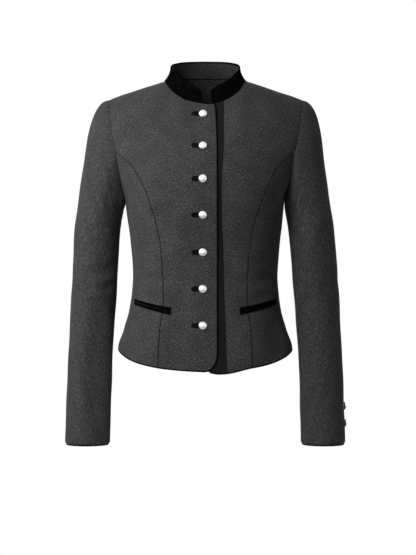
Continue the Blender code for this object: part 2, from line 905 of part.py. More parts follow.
def make_edgings(front_right, front_left, side, back, sleeves):
    hem = (0, 1)
    near = ((every, 0), (every, 1))
    run = edge_run(front_right, *near)[::-1]
    corner_rows = len(HEM_ROWS) - 1
    hem_run = edge_run(front_right, *hem)
    for row in range(corner_rows):
        share = (row + 1) / (corner_rows + 1)
        step = run[-1 - (corner_rows - 1 - row)]
        way = blend(step[2], hem_run[0][2], share)
        step[2] = way / np.linalg.norm(way)
    run[-1][2] = hem_run[0][2]
    run += hem_run[1:-1]
    mirrored_side = sided(side, right)
    mirrored_back = sided(back, right)
    run += edge_run(mirrored_side, *hem)[:-1]
    run += edge_run(mirrored_back, *hem)[::-1]
    edging("edge_trim_right", run)
    run = edge_run(front_left, *hem)[:-1] + edge_run(side, *hem)[:-1] + edge_run(back, *hem)[::-1]
    edging("edge_trim_left", run)
    for side_sign, name in ((right, "right"), (left, "left")):
        loop = []
        for piece in sleeves:
            loop += edge_run(sided(piece, side_sign), -1, -2)[:-1]
        edging(f"cuff_trim_{name}", loop, closed=True)


def button(name, origin, axis, radius, stem):
    """A domed button on a shank that reaches stem below the cloth's outer side."""
    lift = 0.5
    profile = [
        (0, -stem),
        (SHANK_RADIUS, -stem),
        (SHANK_RADIUS, lift),
        (radius * 0.93, lift + 0.2),
        (radius, lift + 1.0),
        (radius * 0.86, BUTTON_HEIGHT * 0.68),
        (radius * 0.5, BUTTON_HEIGHT * 0.94),
        (0, BUTTON_HEIGHT),
    ]
    return lathe(name, profile, origin, axis, 14, silver)


def make_front_buttons(front):
    """Buttons on the band, each through a keyhole cut in the right front."""
    for index, height in enumerate(BUTTON_HEIGHTS):
        spot = draped(BUTTON_X, turn_at(BUTTON_X, height, False), False)
        step = 1.0
        above = draped(BUTTON_X, turn_at(BUTTON_X, height + step, False), False)
        axis = np.cross(above - spot, np.array([step, 0.0, 0.0]))
        axis = axis / np.linalg.norm(axis)
        if axis[1] > 0:
            axis = -axis
        button(f"button_{index + 1}", spot, axis, BUTTON_RADIUS, SHANK_DEPTH)
        cutter = keyhole(spot, axis)
        cut = front.modifiers.new(f"buttonhole {index + 1}", "BOOLEAN")
        cut.operation = "DIFFERENCE"
        cut.solver = "EXACT"
        cut.object = cutter


def keyhole(spot, axis):
    """The cutter for one buttonhole: a round eye at the button, and a slit away from the edge."""
    across = np.array([-1.0, 0.0, 0.0])
    upwards = np.cross(axis, across)
    upwards = upwards / np.linalg.norm(upwards)
    sides = 10
    opening = math.asin(BUTTONHOLE_SLIT / BUTTONHOLE_EYE)
    outline = [
        (BUTTONHOLE_EYE * math.cos(angle), BUTTONHOLE_EYE * math.sin(angle))
        for angle in np.linspace(opening, 2 * math.pi - opening, sides)
    ]
    outline += [(BUTTONHOLE_LENGTH, -BUTTONHOLE_SLIT), (BUTTONHOLE_LENGTH, BUTTONHOLE_SLIT)]
    reach = 6.0
    points = [
        spot + across * run + upwards * rise + axis * side * reach for side in (-1, 1) for run, rise in outline
    ]
    count = len(outline)
    faces = [tuple(range(count))[::-1], tuple(range(count, 2 * count))]
    for index in range(count):
        after = (index + 1) % count
        faces.append((index, after, count + after, count + index))
    cutter = body_from("buttonhole cutter", points, faces, silver)
    cutter.hide_render = True
    cutter.display_type = "WIRE"
    return cutter


def make_cuff_buttons():
    for side, side_name in ((right, "right"), (left, "left")):
        for index, height in enumerate(CUFF_BUTTON_HEIGHTS):
            spot = sleeve_ring(CUFF_BUTTON_ANGLE[side_name], height)
            turned = math.radians(CUFF_BUTTON_ANGLE[side_name])
            axis = np.array([math.sin(turned), -math.cos(turned), 0.0])
            mirror = np.array([side, 1, 1])
            name = f"cuff_button_{index + 1}_{side_name}"
            button(name, spot * mirror, axis * mirror, CUFF_BUTTON_RADIUS, -SEAM_GAP)


front_body, front_right_grids = make_front_right()
front_left_grids = make_front_left()
make_band()
back_grids = make_backs()
side_grids = make_sides()
sleeve_grids = make_sleeves()
make_collar()
make_neck_facing(back_grids)
make_welts()
make_edgings(front_right_grids, front_left_grids, side_grids, back_grids, sleeve_grids)
make_front_buttons(front_body)
make_cuff_buttons()
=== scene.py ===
"""A short fitted jacket of charcoal wool with a black velvet stand collar.

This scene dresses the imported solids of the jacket: fine cloth panels with soft creases,
rolled velvet edges, worked buttonholes and turned silver buttons. Lengths are written in
millimetres and become metres in the meshes. The jacket's front faces -Y and +Z is up.
"Right" and "left" are the wearer's, so the right front, which laps over, lies towards -X.
"""

# %% [markdown]
# # The frame
# A jacket is cut from flat cloth, but its form is hollow. The imported solids hold
# that form and every size, and this scene only finishes them. So the first step loads the
# solids.

# %% Load the imported solids
import math
from collections import namedtuple

import bpy
import numpy as np
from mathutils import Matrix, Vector


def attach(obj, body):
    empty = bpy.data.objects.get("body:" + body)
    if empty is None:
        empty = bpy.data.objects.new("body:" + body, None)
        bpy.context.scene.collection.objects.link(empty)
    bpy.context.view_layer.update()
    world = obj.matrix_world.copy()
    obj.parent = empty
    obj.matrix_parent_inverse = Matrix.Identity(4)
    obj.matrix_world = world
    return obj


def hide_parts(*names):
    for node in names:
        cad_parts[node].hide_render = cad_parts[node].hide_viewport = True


MM = 0.001
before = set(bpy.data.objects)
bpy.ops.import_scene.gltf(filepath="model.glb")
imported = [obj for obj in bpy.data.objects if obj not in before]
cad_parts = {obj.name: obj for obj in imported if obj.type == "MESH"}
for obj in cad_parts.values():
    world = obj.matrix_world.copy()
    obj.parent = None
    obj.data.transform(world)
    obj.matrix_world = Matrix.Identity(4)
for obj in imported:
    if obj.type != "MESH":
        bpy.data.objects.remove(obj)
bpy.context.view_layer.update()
print("solids:", len(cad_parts))


# %% Helpers for objects, node trees and materials
def in_scene(name, data):
    """A new object of the scene, at the origin."""
    made = bpy.data.objects.new(name, data)
    bpy.context.scene.collection.objects.link(made)
    return made


def add(tree, kind, options=None, **inputs):
    """Add one node, set its options, and set or link its named inputs."""
    made = tree.nodes.new(kind)
    for name, value in (options or {}).items():
        setattr(made, name, value)
    for name, value in inputs.items():
        socket = made.inputs[name.replace("_", " ")]
        if isinstance(value, bpy.types.NodeSocket):
            tree.links.new(value, socket)
        else:
            socket.default_value = value
    return made


def new_finish(name, **values):
    """A material, its tree and its main shader, whose plain values are on its own sockets."""
    material = bpy.data.materials.new(name)
    material.use_nodes = True
    shader = material.node_tree.nodes["Principled BSDF"]
    for socket, value in values.items():
        shader.inputs[socket.replace("_", " ")].default_value = value
    return material, material.node_tree, shader

# %% [markdown]
# # The camera
# The photograph was taken level, from a few metres away, with the jacket's front square to
# the lens. A long lens far back could give the same outline with no depth at all, and a short
# one would swell the sleeves, so the distance is that of a studio portrait. The lens follows
# from it: the width of the view at the jacket is known in millimetres.

# %% Place the camera
CAMERA_DISTANCE = 3500.0
VIEW_MIDDLE = (4.9, -350.0)
VIEW_WIDTH = 748.8
SENSOR = 36.0

camera = in_scene("camera", bpy.data.cameras.new("camera"))
camera.data.sensor_fit = "HORIZONTAL"
camera.data.sensor_width = SENSOR
camera.data.lens = SENSOR * CAMERA_DISTANCE / VIEW_WIDTH
camera.location = (VIEW_MIDDLE[0] * MM, -CAMERA_DISTANCE * MM, VIEW_MIDDLE[1] * MM)
camera.rotation_euler = (math.radians(90), 0, 0)
bpy.context.scene.camera = camera
print(f"lens: {camera.data.lens:.1f} mm")

# %% [markdown]
# # Floor and light
# The jacket hangs at the height it has on a wearer, over a plain pale floor. The main light
# stands in front of it, above it and to the camera's left. A small one at its left side
# models the sleeve there, and two broad ones behind lift its outline. Even light from all
# round would be simpler, but cloth as dark as this needs dim sides, or it turns flat and
# grey. So the surroundings give it little light, although the camera sees them white and the
# silver mirrors them.

# %% Lay the floor
FLOOR_HEIGHT = -1420.0
FLOOR_HALF = 2900.0

floor_mesh = bpy.data.meshes.new("floor")
corner_ways = ((-1, -1), (1, -1), (1, 1), (-1, 1))
floor_corners = [(x * FLOOR_HALF * MM, y * FLOOR_HALF * MM, FLOOR_HEIGHT * MM) for x, y in corner_ways]
floor_mesh.from_pydata(floor_corners, [], [(0, 1, 2, 3)])
floor_finish = new_finish("pale floor", Base_Color=(0.86, 0.86, 0.86, 1.0), Roughness=0.8)[0]
floor_mesh.materials.append(floor_finish)
in_scene("floor", floor_mesh)

# %% Set the lights
SoftLight = namedtuple("SoftLight", "name place aim width height power")
LIGHTS = [
    SoftLight("main light", (-950, -1500, 550), (0, 0, -200), 700, 700, 28.0),
    SoftLight("side light", (-1100, -350, 250), (0, 0, -150), 350, 500, 7.0),
    SoftLight("back light", (-300, 2600, 500), (0, 0, -330), 1600, 1600, 42.0),
    SoftLight("far side light", (2200, 1000, 300), (0, 0, -330), 1200, 1200, 7.0),
]
SURROUNDINGS_SEEN = 1.0
SURROUNDINGS_LIGHT = 0.08
SURROUNDINGS_MIRRORED = 0.9


def set_light(light):
    lamp = bpy.data.lights.new(light.name, "AREA")
    lamp.shape = "RECTANGLE"
    lamp.size = light.width * MM
    lamp.size_y = light.height * MM
    lamp.energy = light.power
    stand = in_scene(light.name, lamp)
    stand.location = Vector(light.place) * MM
    away = (Vector(light.aim) - Vector(light.place)).normalized()
    stand.rotation_euler = away.to_track_quat("-Z", "Y").to_euler()


for light in LIGHTS:
    set_light(light)

surroundings = bpy.data.worlds.new("surroundings")
surroundings.use_nodes = True
sky = surroundings.node_tree
ray = add(sky, "ShaderNodeLightPath").outputs
indirect = add(
    sky,
    "ShaderNodeMapRange",
    Value=ray["Is Glossy Ray"],
    To_Min=SURROUNDINGS_LIGHT,
    To_Max=SURROUNDINGS_MIRRORED,
).outputs["Result"]
strength = add(
    sky, "ShaderNodeMapRange", Value=ray["Is Camera Ray"], To_Min=indirect, To_Max=SURROUNDINGS_SEEN
)
background = sky.nodes["Background"].inputs
background["Color"].default_value = (1, 1, 1, 1)
sky.links.new(strength.outputs["Result"], background["Strength"])
bpy.context.scene.world = surroundings
bpy.context.scene.view_settings.view_transform = "Standard"
print("lights:", [light.name for light in LIGHTS])

# %% [markdown]
# # The body's form
# A tailor's form is read off level sections: how wide it is, and how deep in front and behind.
# The tables below are the ones that the solids were drawn from. Only the collar's top is
# 1 or 2 mm higher at the sides here. The curves between the rows could be splines placed by
# hand, but a formula can be read at any point, so a panel may be divided as finely as its
# creases need and still meet its neighbours exactly.

# %% Thicknesses, and the gap at a seam
CLOTH = 1.6
VELVET = 2.4
FACING = 1.2
SEAM_GAP = 0.3

# %% The tables of the form
SIDES = {"right": -1, "left": 1}

Section = namedtuple("Section", "z half_width front back")
SECTIONS = [
    Section(-520, 160.5, 112, 123),
    Section(-475, 156.5, 110, 118),
    Section(-445, 145.5, 107, 109),
    Section(-409, 137.0, 103, 99),
    Section(-373, 131.5, 101, 92),
    Section(-350, 129.9, 100, 90),
    Section(-319, 131.4, 102, 91),
    Section(-283, 134.8, 107, 95),
    Section(-247, 139.8, 115, 100),
    Section(-212, 144.0, 122, 103),
    Section(-182, 156.0, 123, 105),
    Section(-150, 168.0, 115, 105),
    Section(-122, 180.0, 104, 103),
    Section(-95, 189.0, 91, 99),
    Section(-60, 194.0, 73, 88),
    Section(-30, 195.0, 59, 78),
    Section(20, 195.0, 47, 60),
]
ROUNDNESS = 2.2

Ridge = namedtuple("Ridge", "x z")
SHOULDER = [
    Ridge(73.5, 3),
    Ridge(89, -2),
    Ridge(110, -9),
    Ridge(131, -16),
    Ridge(154, -23),
    Ridge(174, -31),
    Ridge(200, -43),
]
SHOULDER_DROP = 60.0
SHOULDER_TIP = 174.0
NECK_HALF_WIDTH = 73.5
BACK_NECK_RISE = 46.5

Neckline = namedtuple("Neckline", "angle seam top")
NECKLINE = [
    Neckline(0, -42, -20.0),
    Neckline(6, -41.6, -17.6),
    Neckline(17, -39, -10.5),
    Neckline(30, -34, -3.0),
    Neckline(42, -27, 3.5),
    Neckline(57, -16, 14.0),
    Neckline(74, -3, 23.0),
    Neckline(90, 3, 30.0),
    Neckline(120, 10, 38.5),
    Neckline(150, 13, 43.2),
    Neckline(180, 13.5, 44.5),
]

Hem = namedtuple("Hem", "angle z")
HEM = [
    Hem(0, -514.5),
    Hem(15, -512),
    Hem(30, -507),
    Hem(45, -500.5),
    Hem(60, -492),
    Hem(75, -482.5),
    Hem(90, -476.5),
    Hem(105, -474),
    Hem(120, -474.5),
    Hem(150, -478.5),
    Hem(180, -481),
]

Armhole = namedtuple("Armhole", "z front back")
ARMHOLE = [
    Armhole(-212, 1.0, 1.0),
    Armhole(-205, 0.9895, 0.989),
    Armhole(-182, 0.965, 0.968),
    Armhole(-150, 0.925, 0.940),
    Armhole(-122, 0.888, 0.909),
    Armhole(-95, 0.879, 0.889),
    Armhole(-63, 0.878, 0.883),
    Armhole(-31, 0.8923, 0.8923),
]
ARMHOLE_MIDDLE = -121.5
ARMHOLE_HALF_HEIGHT = 90.5


# %% Curves read from a table
def curve(where, values, place):
    """A cubic through (where, value) pairs that goes straight on past both ends."""
    where = np.asarray(where, float)
    values = np.asarray(values, float)
    place = np.asarray(place, float)
    slopes = np.diff(values) / np.diff(where)
    before, after = slopes[:-1], slopes[1:]
    same_way = before * after > 0
    total = np.where(same_way, before + after, 1.0)
    inner = np.where(same_way, 2 * before * after / total, 0.0)
    tangents = np.concatenate([slopes[:1], inner, slopes[-1:]])
    index = np.clip(np.searchsorted(where, place, side="right") - 1, 0, len(where) - 2)
    span = where[index + 1] - where[index]
    t = np.clip((place - where[index]) / span, 0, 1)
    start = values[index] * (1 + 2 * t) * (1 - t) ** 2
    end = values[index + 1] * (3 - 2 * t) * t**2
    bend = tangents[index] * t * (1 - t) ** 2 - tangents[index + 1] * (1 - t) * t**2
    below = tangents[0] * np.minimum(place - where[0], 0)
    above = tangents[-1] * np.maximum(place - where[-1], 0)
    return start + end + bend * span + below + above


def along(rows, column, place):
    """Read one column of a table at a place."""
    return curve([row[0] for row in rows], [getattr(row, column) for row in rows], place)


def blend(low, high, t):
    return low + (high - low) * t


def ease(t):
    t = np.clip(t, 0.0, 1.0)
    return t * t * (3 - 2 * t)


# %% Points of the body's form
def stacked(*coordinates):
    return np.stack(np.broadcast_arrays(*coordinates), axis=-1)


def ridge_height(x, back):
    """The height at which the cloth turns from front to back, at a distance x from the middle."""
    x = np.abs(x)
    rise = BACK_NECK_RISE * np.clip(1 - (x / NECK_HALF_WIDTH) ** 2, 0, 1) ** 0.75
    neck = SHOULDER[0].z + np.where(back, rise, 0.0)
    return np.where(x >= NECK_HALF_WIDTH, along(SHOULDER, "z", x), neck)


def turn_at(x, z, back):
    """How far the cloth has turned down at a height: 0 on the ridge, and from 1 down it hangs."""
    below = np.maximum(ridge_height(x, back) - z, 0) / SHOULDER_DROP
    rounding = np.arccos(np.clip(1 - below, -1, 1)) * 2 / math.pi
    return np.where(below < 1, rounding, 1 + (below - 1) * 2 / math.pi)


def draped(x, turn, back):
    """A point of the body's form, from its distance from the middle and its turn."""
    quarter = np.minimum(turn, 1) * math.pi / 2
    fall = np.where(turn < 1, 1 - np.cos(quarter), 1 + (turn - 1) * math.pi / 2)
    z = ridge_height(x, back) - SHOULDER_DROP * fall
    reach = np.minimum(np.abs(x) / along(SECTIONS, "half_width", z), 1.0)
    depth = along(SECTIONS, "back" if back else "front", z)
    depth = depth * (1 - reach**ROUNDNESS) ** (1 / ROUNDNESS) * np.sin(quarter)
    return stacked(x, depth if back else -depth, z)


def on_form(x, z, back):
    """A point of the body's form at a height, behind where back is true and else in front."""
    front_point = draped(x, turn_at(x, z, False), False)
    back_point = draped(x, turn_at(x, z, True), True)
    return np.where(np.asarray(back)[..., None], back_point, front_point)


def wrapped(angle, z):
    """A point of the body's form, from its angle round from the front and its height."""
    turned = np.radians(angle)
    x = along(SECTIONS, "half_width", z) * np.abs(np.sin(turned)) ** (2 / ROUNDNESS)
    depth = np.where(angle > 90, along(SECTIONS, "back", z), along(SECTIONS, "front", z))
    y = -depth * np.sign(np.cos(turned)) * np.abs(np.cos(turned)) ** (2 / ROUNDNESS)
    return stacked(x, y, z)


def angle_at(x, z, back):
    reach = np.minimum(np.abs(x) / along(SECTIONS, "half_width", z), 1.0)
    angle = np.degrees(np.arcsin(reach ** (ROUNDNESS / 2)))
    return np.where(back, 180 - angle, angle)


HEM_GUESS = -490.0
HEM_ROUNDS = 4


def hem_height(x, back):
    """The hem's height at a distance from the middle, closed in on from a guess."""
    z = np.full(np.shape(x), HEM_GUESS)
    for _ in range(HEM_ROUNDS):
        z = along(HEM, "z", angle_at(x, z, back))
    return z


def armhole(angle):
    """Width and height of the armhole: 90 is its top, 0 its front, 180 its back."""
    z = ARMHOLE_MIDDLE + ARMHOLE_HALF_HEIGHT * np.sin(np.radians(angle))
    back = np.cos(np.radians(angle)) < 0
    share = np.where(back, along(ARMHOLE, "back", z), along(ARMHOLE, "front", z))
    return np.minimum(share, 1.0) * along(SECTIONS, "half_width", z), z


def armhole_angle(z, back):
    angle = math.degrees(math.asin((z - ARMHOLE_MIDDLE) / ARMHOLE_HALF_HEIGHT))
    return 180 - angle if back else angle


waist = wrapped(np.array([0.0, 90.0, 180.0]), -350.0)
print("waist, front to back:", round(float(waist[2, 1] - waist[0, 1])), "mm")

# %% [markdown]
# # Creases
# Pressed wool falls smooth, yet it is never as even as a shell of metal: it drags a little
# below the armhole, folds softly at the waist and inside the elbow, and waves at the hem. A
# cloth simulation could find such folds, but it would also move the seams. Here each crease
# is a short line with a soft trough along it and a low ridge on both sides. All the panels
# read the same creases, so a fold runs on across a seam.

# %% Soft creases, as lines on the form
Crease = namedtuple("Crease", "start end width depth")
BODY_CREASES = [
    Crease((90, -86, -172), (86, -96, -236), 34, -5.5),
    Crease((78, -92, -296), (82, -92, -390), 27, -2.6),
    Crease((84, -94, -420), (88, -98, -500), 28, -3.0),
    Crease((136, -78, -196), (92, -112, -226), 11, 1.5),
    Crease((142, -62, -214), (104, -104, -262), 13, 1.2),
    Crease((124, -55, -332), (66, -94, -318), 9, 1.5),
    Crease((127, -45, -352), (58, -92, -356), 10, 1.7),
    Crease((125, -58, -374), (78, -86, -390), 10, 1.1),
    Crease((52, -112, -262), (88, -92, -296), 15, 1.0),
    Crease((146, 40, -196), (96, 86, -232), 12, 1.7),
    Crease((150, 20, -222), (108, 76, -276), 13, 1.3),
    Crease((120, 50, -326), (24, 88, -336), 10, 1.9),
    Crease((122, 46, -350), (12, 90, -360), 11, 2.1),
    Crease((118, 56, -376), (48, 92, -384), 10, 1.5),
    Crease((104, 70, -92), (112, 72, -176), 15, 1.6),
    Crease((52, 78, -86), (84, 90, -148), 20, 1.0),
    Crease((76, -88, -420), (84, -96, -502), 20, -1.5),
    Crease((118, -60, -414), (132, -62, -490), 20, 1.7),
    Crease((146, 6, -420), (158, 10, -480), 19, -1.4),
    Crease((110, 66, -412), (122, 78, -482), 20, 1.8),
    Crease((52, 98, -414), (56, 114, -482), 20, -1.6),
]
SLEEVE_CREASES = [
    Crease((160, -20, -268), (205, -46, -300), 9, 1.4),
    Crease((158, -24, -330), (216, -44, -352), 9, 1.9),
    Crease((160, -22, -366), (222, -40, -372), 8, 2.1),
    Crease((158, -28, -398), (214, -46, -386), 9, 1.6),
    Crease((234, -16, -338), (240, 26, -372), 12, 0.5),
    Crease((178, 52, -344), (226, 44, -372), 12, 1.8),
    Crease((172, 46, -388), (220, 52, -402), 11, 1.3),
    Crease((208, -58, -70), (222, -52, -156), 14, 1.2),
    Crease((196, 60, -78), (214, 62, -170), 15, 1.5),
    Crease((206, -68, -470), (214, -66, -560), 16, 1.1),
    Crease((196, -84, -590), (224, -78, -622), 11, 1.0),
    Crease((196, 22, -560), (220, 12, -612), 12, 1.1),
]
ARM_FORMS = {
    "right": [Crease((190, -40, -400), (194, -70, -632), 16, 3.8)],
    "left": [
        Crease((188, -40, -250), (196, -48, -400), 20, -4.0),
        Crease((200, -50, -400), (204, -72, -632), 22, -2.6),
    ],
}
RIDGE_OUT = 1.8
RIDGE_SHARE = 0.5
RIDGE_SHARPNESS = 1.4
CREASE_OVERRUN = 0.15
CREASE_FADE = 0.45
UNEVEN = 0.22
UNEVEN_BY_CREASE = 2.3
UNEVEN_BY_SIDE = 1.7
RIPPLES = [(0.061, 0.043, 0.031, 0.3), (0.027, -0.052, 0.058, 1.9), (-0.044, 0.024, 0.083, 4.1)]
RIPPLE_DEPTH = 0.22
CALM_HALF = 16.0
CALM_FADE = 26.0
SLEEVE_CALM_FADE = 0.3


def crease_depth(points, creases):
    """How far the creases sink the cloth at each point, in millimetres."""
    side = np.where(points[..., 0] < 0, SIDES["right"], SIDES["left"])
    here = points * np.stack([side, np.ones_like(side), np.ones_like(side)], axis=-1)
    depth = np.zeros(points.shape[:-1])
    for index, crease in enumerate(creases):
        own = 1 + UNEVEN * np.sin(UNEVEN_BY_CREASE * index + UNEVEN_BY_SIDE * side)
        start = np.array(crease.start, float)
        way = np.array(crease.end, float) - start
        t = np.sum((here - start) * way, axis=-1) / np.dot(way, way)
        nearest = start + np.clip(t, 0, 1)[..., None] * way
        away = np.linalg.norm(here - nearest, axis=-1) / (crease.width * own)
        beginning = ease((t + CREASE_OVERRUN) / CREASE_FADE)
        ending = ease((1 + CREASE_OVERRUN - t) / CREASE_FADE)
        ridge = RIDGE_SHARE * np.exp(-((away - RIDGE_OUT) ** 2) * RIDGE_SHARPNESS)
        depth += crease.depth * own * beginning * ending * (np.exp(-(away**2)) - ridge)
    for x_rate, y_rate, z_rate, shift in RIPPLES:
        wave = points @ np.array([x_rate, y_rate, z_rate]) + shift
        depth += RIPPLE_DEPTH * np.sin(wave)
    return depth


def body_creases(points):
    """The body's creases, calmed along the row of buttons, which holds the cloth flat."""
    depth = crease_depth(points, BODY_CREASES)
    calm = ease((np.abs(points[..., 0]) - CALM_HALF) / CALM_FADE)
    return np.where(points[..., 1] < 0, depth * calm, depth)


def sleeve_creases(points, level):
    """The sleeves' creases and own forms, calmed where the sleeve is sewn in."""
    own_forms = ARM_FORMS["right" if points[..., 0].mean() < 0 else "left"]
    return crease_depth(points, SLEEVE_CREASES + own_forms) * ease(level / SLEEVE_CALM_FADE)


# %% [markdown]
# # A cloth panel
# A real panel has a thickness, and its edges are turned in and pressed, so they are round.
# Solidify and Bevel could do it, but the seam groove is what a viewer sees of a seam, so its
# roundness is drawn here for each edge on its own. A panel is a grid of points with the
# outer and the inner skin half a thickness to each side. Towards an edge both skins close
# in along a quarter circle. The grid's own lengths become the UV map, in metres of cloth.

# %% Skins, edges and lengths of a cloth grid
Panel = namedtuple("Panel", "points normals")
Rims = namedtuple("Rims", "near far bottom top")
RIM_SHARE = 0.1
SEAM_SHADE_REACH = 1.7
SEAM_RIMS = Rims(1.3, 1.3, 1.0, 1.0)


def lengths_along(points, axis):
    """Distance travelled over the grid from its first row (axis 0) or column (axis 1)."""
    steps = np.linalg.norm(np.diff(points, axis=axis), axis=-1)
    start = np.zeros_like(np.take(steps, [0], axis=axis))
    return np.concatenate([start, np.cumsum(steps, axis=axis)], axis=axis)


def body_centre(points):
    """A place deep inside the body for each point, a little below it."""
    return points * np.array([0.55, 0.0, 1.0]) - np.array([0.0, 0.0, 40.0])


def shaped(points, u, v, centre=body_centre):
    """A panel from a grid of points, with the way out of the form at each of them."""
    across = np.gradient(points, u, axis=1)
    upwards = np.gradient(points, v, axis=0)
    normals = np.cross(across, upwards)
    normals /= np.linalg.norm(normals, axis=-1, keepdims=True)
    outwards = np.sum(normals * (points - centre(points)), axis=-1)
    return Panel(points, normals if np.median(outwards) > 0 else -normals)


def mirrored(panel):
    flip = np.array([-1, 1, 1])
    return Panel(panel.points * flip, panel.normals * flip)


def both_sides(panel):
    """A left side's panel, for each side in turn."""
    return (("right", mirrored(panel)), ("left", panel))


def sunk(panel, depth):
    """The same panel, moved in by a depth in millimetres at each point."""
    depth = np.broadcast_to(depth, panel.points.shape[:-1])
    return Panel(panel.points - panel.normals * depth[..., None], panel.normals)


def from_edges(points):
    """The distance of each point of a grid from each of its four edges."""
    across = lengths_along(points, 1)
    upwards = lengths_along(points, 0)
    return Rims(across, across[:, -1:] - across, upwards, upwards[-1:] - upwards)


def edge_share(points, rims):
    """How thick the cloth is at each point, from near 0 on a round edge to 1 inside it."""
    share = 1.0
    for away, radius in zip(from_edges(points), rims):
        reach = np.clip(away / radius, 0, 1)
        share = share * np.sqrt(1 - (1 - reach) ** 2)
    return np.maximum(share, RIM_SHARE)


def seam_shade(points):
    """0 on a sewn edge, rising to 1 inside it: painted shade for the shadowed seam groove and its pressed
    nap.
    """
    return ease(np.min(from_edges(points), axis=0) / SEAM_SHADE_REACH)


# %% Build a closed cloth from a grid
def build(name, points, faces, material, uv=None, uv_name="cloth"):
    """One closed, smooth mesh from points in millimetres, which may have a UV place each."""
    mesh = bpy.data.meshes.new(name)
    mesh.from_pydata((np.asarray(points) * MM).tolist(), [], faces)
    mesh.materials.append(material)
    if uv is not None:
        corners = [corner for face in faces for corner in face]
        layer = mesh.uv_layers.new(name=uv_name)
        layer.data.foreach_set("uv", np.asarray(uv, np.float32)[corners].ravel())
    mesh.shade_smooth()
    return in_scene(name, mesh)


def grid_faces(rows, columns):
    corner = np.arange(rows * columns).reshape(rows, columns)
    quads = np.stack([corner[:-1, :-1], corner[:-1, 1:], corner[1:, 1:], corner[1:, :-1]], axis=-1)
    return quads.reshape(-1, 4)


def rim_faces(rows, columns):
    """Quads that join the outer and the inner skin all round the grid."""
    corner = np.arange(rows * columns).reshape(rows, columns)
    ring = np.concatenate([corner[0, :-1], corner[:-1, -1], corner[-1, :0:-1], corner[:0:-1, 0]])
    after = np.roll(ring, -1)
    inner = rows * columns
    return np.stack([after, ring, ring + inner, after + inner], axis=-1)


def creased(form, depth=0.0):
    """A panel of the body, sunk by its creases and by a depth below them."""
    return sunk(form, body_creases(form.points) + depth)


def cloth(name, panel, thickness, material, rims):
    """A closed cloth whose outer skin lies on the panel's points."""
    points = panel.points
    rows, columns = points.shape[:2]
    half = thickness / 2 * edge_share(points, rims)
    middle = points - panel.normals * thickness / 2
    outer = middle + panel.normals * half[..., None]
    inner = middle - panel.normals * half[..., None]
    skin = grid_faces(rows, columns)
    within = rows * columns
    faces = np.concatenate([skin, skin[:, ::-1] + within, rim_faces(rows, columns)])
    spots = np.concatenate([outer.reshape(-1, 3), inner.reshape(-1, 3)])
    row, column = rows // 2, columns // 2
    across = outer[row, column + 1] - outer[row, column]
    upwards = outer[row + 1, column] - outer[row, column]
    if np.dot(np.cross(across, upwards), panel.normals[row, column]) < 0:
        faces = faces[:, ::-1]
    lengths = np.stack([lengths_along(points, 1), lengths_along(points, 0)], axis=-1) * MM
    uv = np.concatenate([lengths.reshape(-1, 2)] * 2)
    piece = build(name, spots, faces.tolist(), material, uv)
    # Painted shade: each point's nearness to a sewn edge, by which the wool's colour is darkened there.
    shade = seam_shade(points).ravel()
    shades = piece.data.attributes.new("seam shade", "FLOAT", "POINT")
    shades.data.foreach_set("value", np.concatenate([shade, shade]))
    return piece


def dress(piece, nodes):
    """Hide the solids that a piece replaces, and attach the piece to the root."""
    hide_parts(*nodes)
    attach(piece, "root")


def even_steps(start, end, step):
    return np.linspace(start, end, max(round(abs(end - start) / step), 1) + 1)


ROUND_END = 0.06


def fine_ends(count, fine=(0.0, 0.0025, 0.006, 0.011, 0.018, 0.028, 0.042)):
    """Shares from 0 to 1 that crowd together at both ends, for round edges."""
    start = np.array(fine)
    middle = np.linspace(ROUND_END, 1 - ROUND_END, count)
    return np.concatenate([start, middle, 1 - start[::-1]])


# %% [markdown]
# # Seams and panels
# A maker draws each panel by its four edges. So does this: two lines up its sides, one along
# its hem and one along its top, and a surface that runs smoothly between them. The other way
# would be to cut one large shell with the seams, which leaves ragged edges at this scale.

# %% The shaping seams
FRONT_SEAM_HEM = 82.5
FRONT_SEAM_TOP = -128.0
BACK_SEAM_HEM = 108.0
BACK_SEAM_TOP = -125.0
# (x, z) pairs, from the hem up.
FRONT_SEAM = [
    (80, -468),
    (76.5, -425),
    (72.8, -381),
    (73.5, -344),
    (77.5, -302),
    (85.5, -260),
    (91.5, -231),
    (100, -204),
    (109.5, -184),
    (121, -166),
    (132, -151),
    (142.5, -140),
]
# (x, z) pairs, from the hem up.
BACK_SEAM = [
    (103, -445),
    (95, -400),
    (92, -354),
    (97, -310),
    (108, -260),
    (120, -215),
    (133, -180),
    (148, -150),
]


def seam_line(rows, hem_x, top_z, back):
    """Width and height along a shaping seam, by the share of its length from the hem."""
    top_x = float(armhole(armhole_angle(top_z, back))[0])
    points = np.array([(hem_x, float(hem_height(hem_x, back))), *rows, (top_x, top_z)])
    travel = lengths_along(points, 0)
    shares = travel / travel[-1]
    return lambda t: (curve(shares, points[:, 0], t), curve(shares, points[:, 1], t))


front_seam = seam_line(FRONT_SEAM, FRONT_SEAM_HEM, FRONT_SEAM_TOP, False)
back_seam = seam_line(BACK_SEAM, BACK_SEAM_HEM, BACK_SEAM_TOP, True)
FRONT_JUNCTION = armhole_angle(FRONT_SEAM_TOP, False)
BACK_JUNCTION = armhole_angle(BACK_SEAM_TOP, True)


# %% Between four edges
TOP_FADE = 3


def patch(near, far, bottom, top, u, v):
    """Grid points inside four edges that meet at their corners, in rows from the bottom up."""
    u = np.asarray(u)[None, :, None]
    v = np.asarray(v)[:, None, None]
    near_line, far_line = near[:, None], far[:, None]
    across = blend(near_line, far_line, u)
    low_bow = bottom[None] - blend(near_line[:1], far_line[:1], u)
    high_bow = top[None] - blend(near_line[-1:], far_line[-1:], u)
    # The corner where the neck meets the shoulder fades quickly, so the columns stay apart.
    return across + (1 - v) * low_bow + v**TOP_FADE * high_bow


def neck_angle(x):
    return np.degrees(np.arcsin(np.clip(x / NECK_HALF_WIDTH, -1.0, 1.0)))


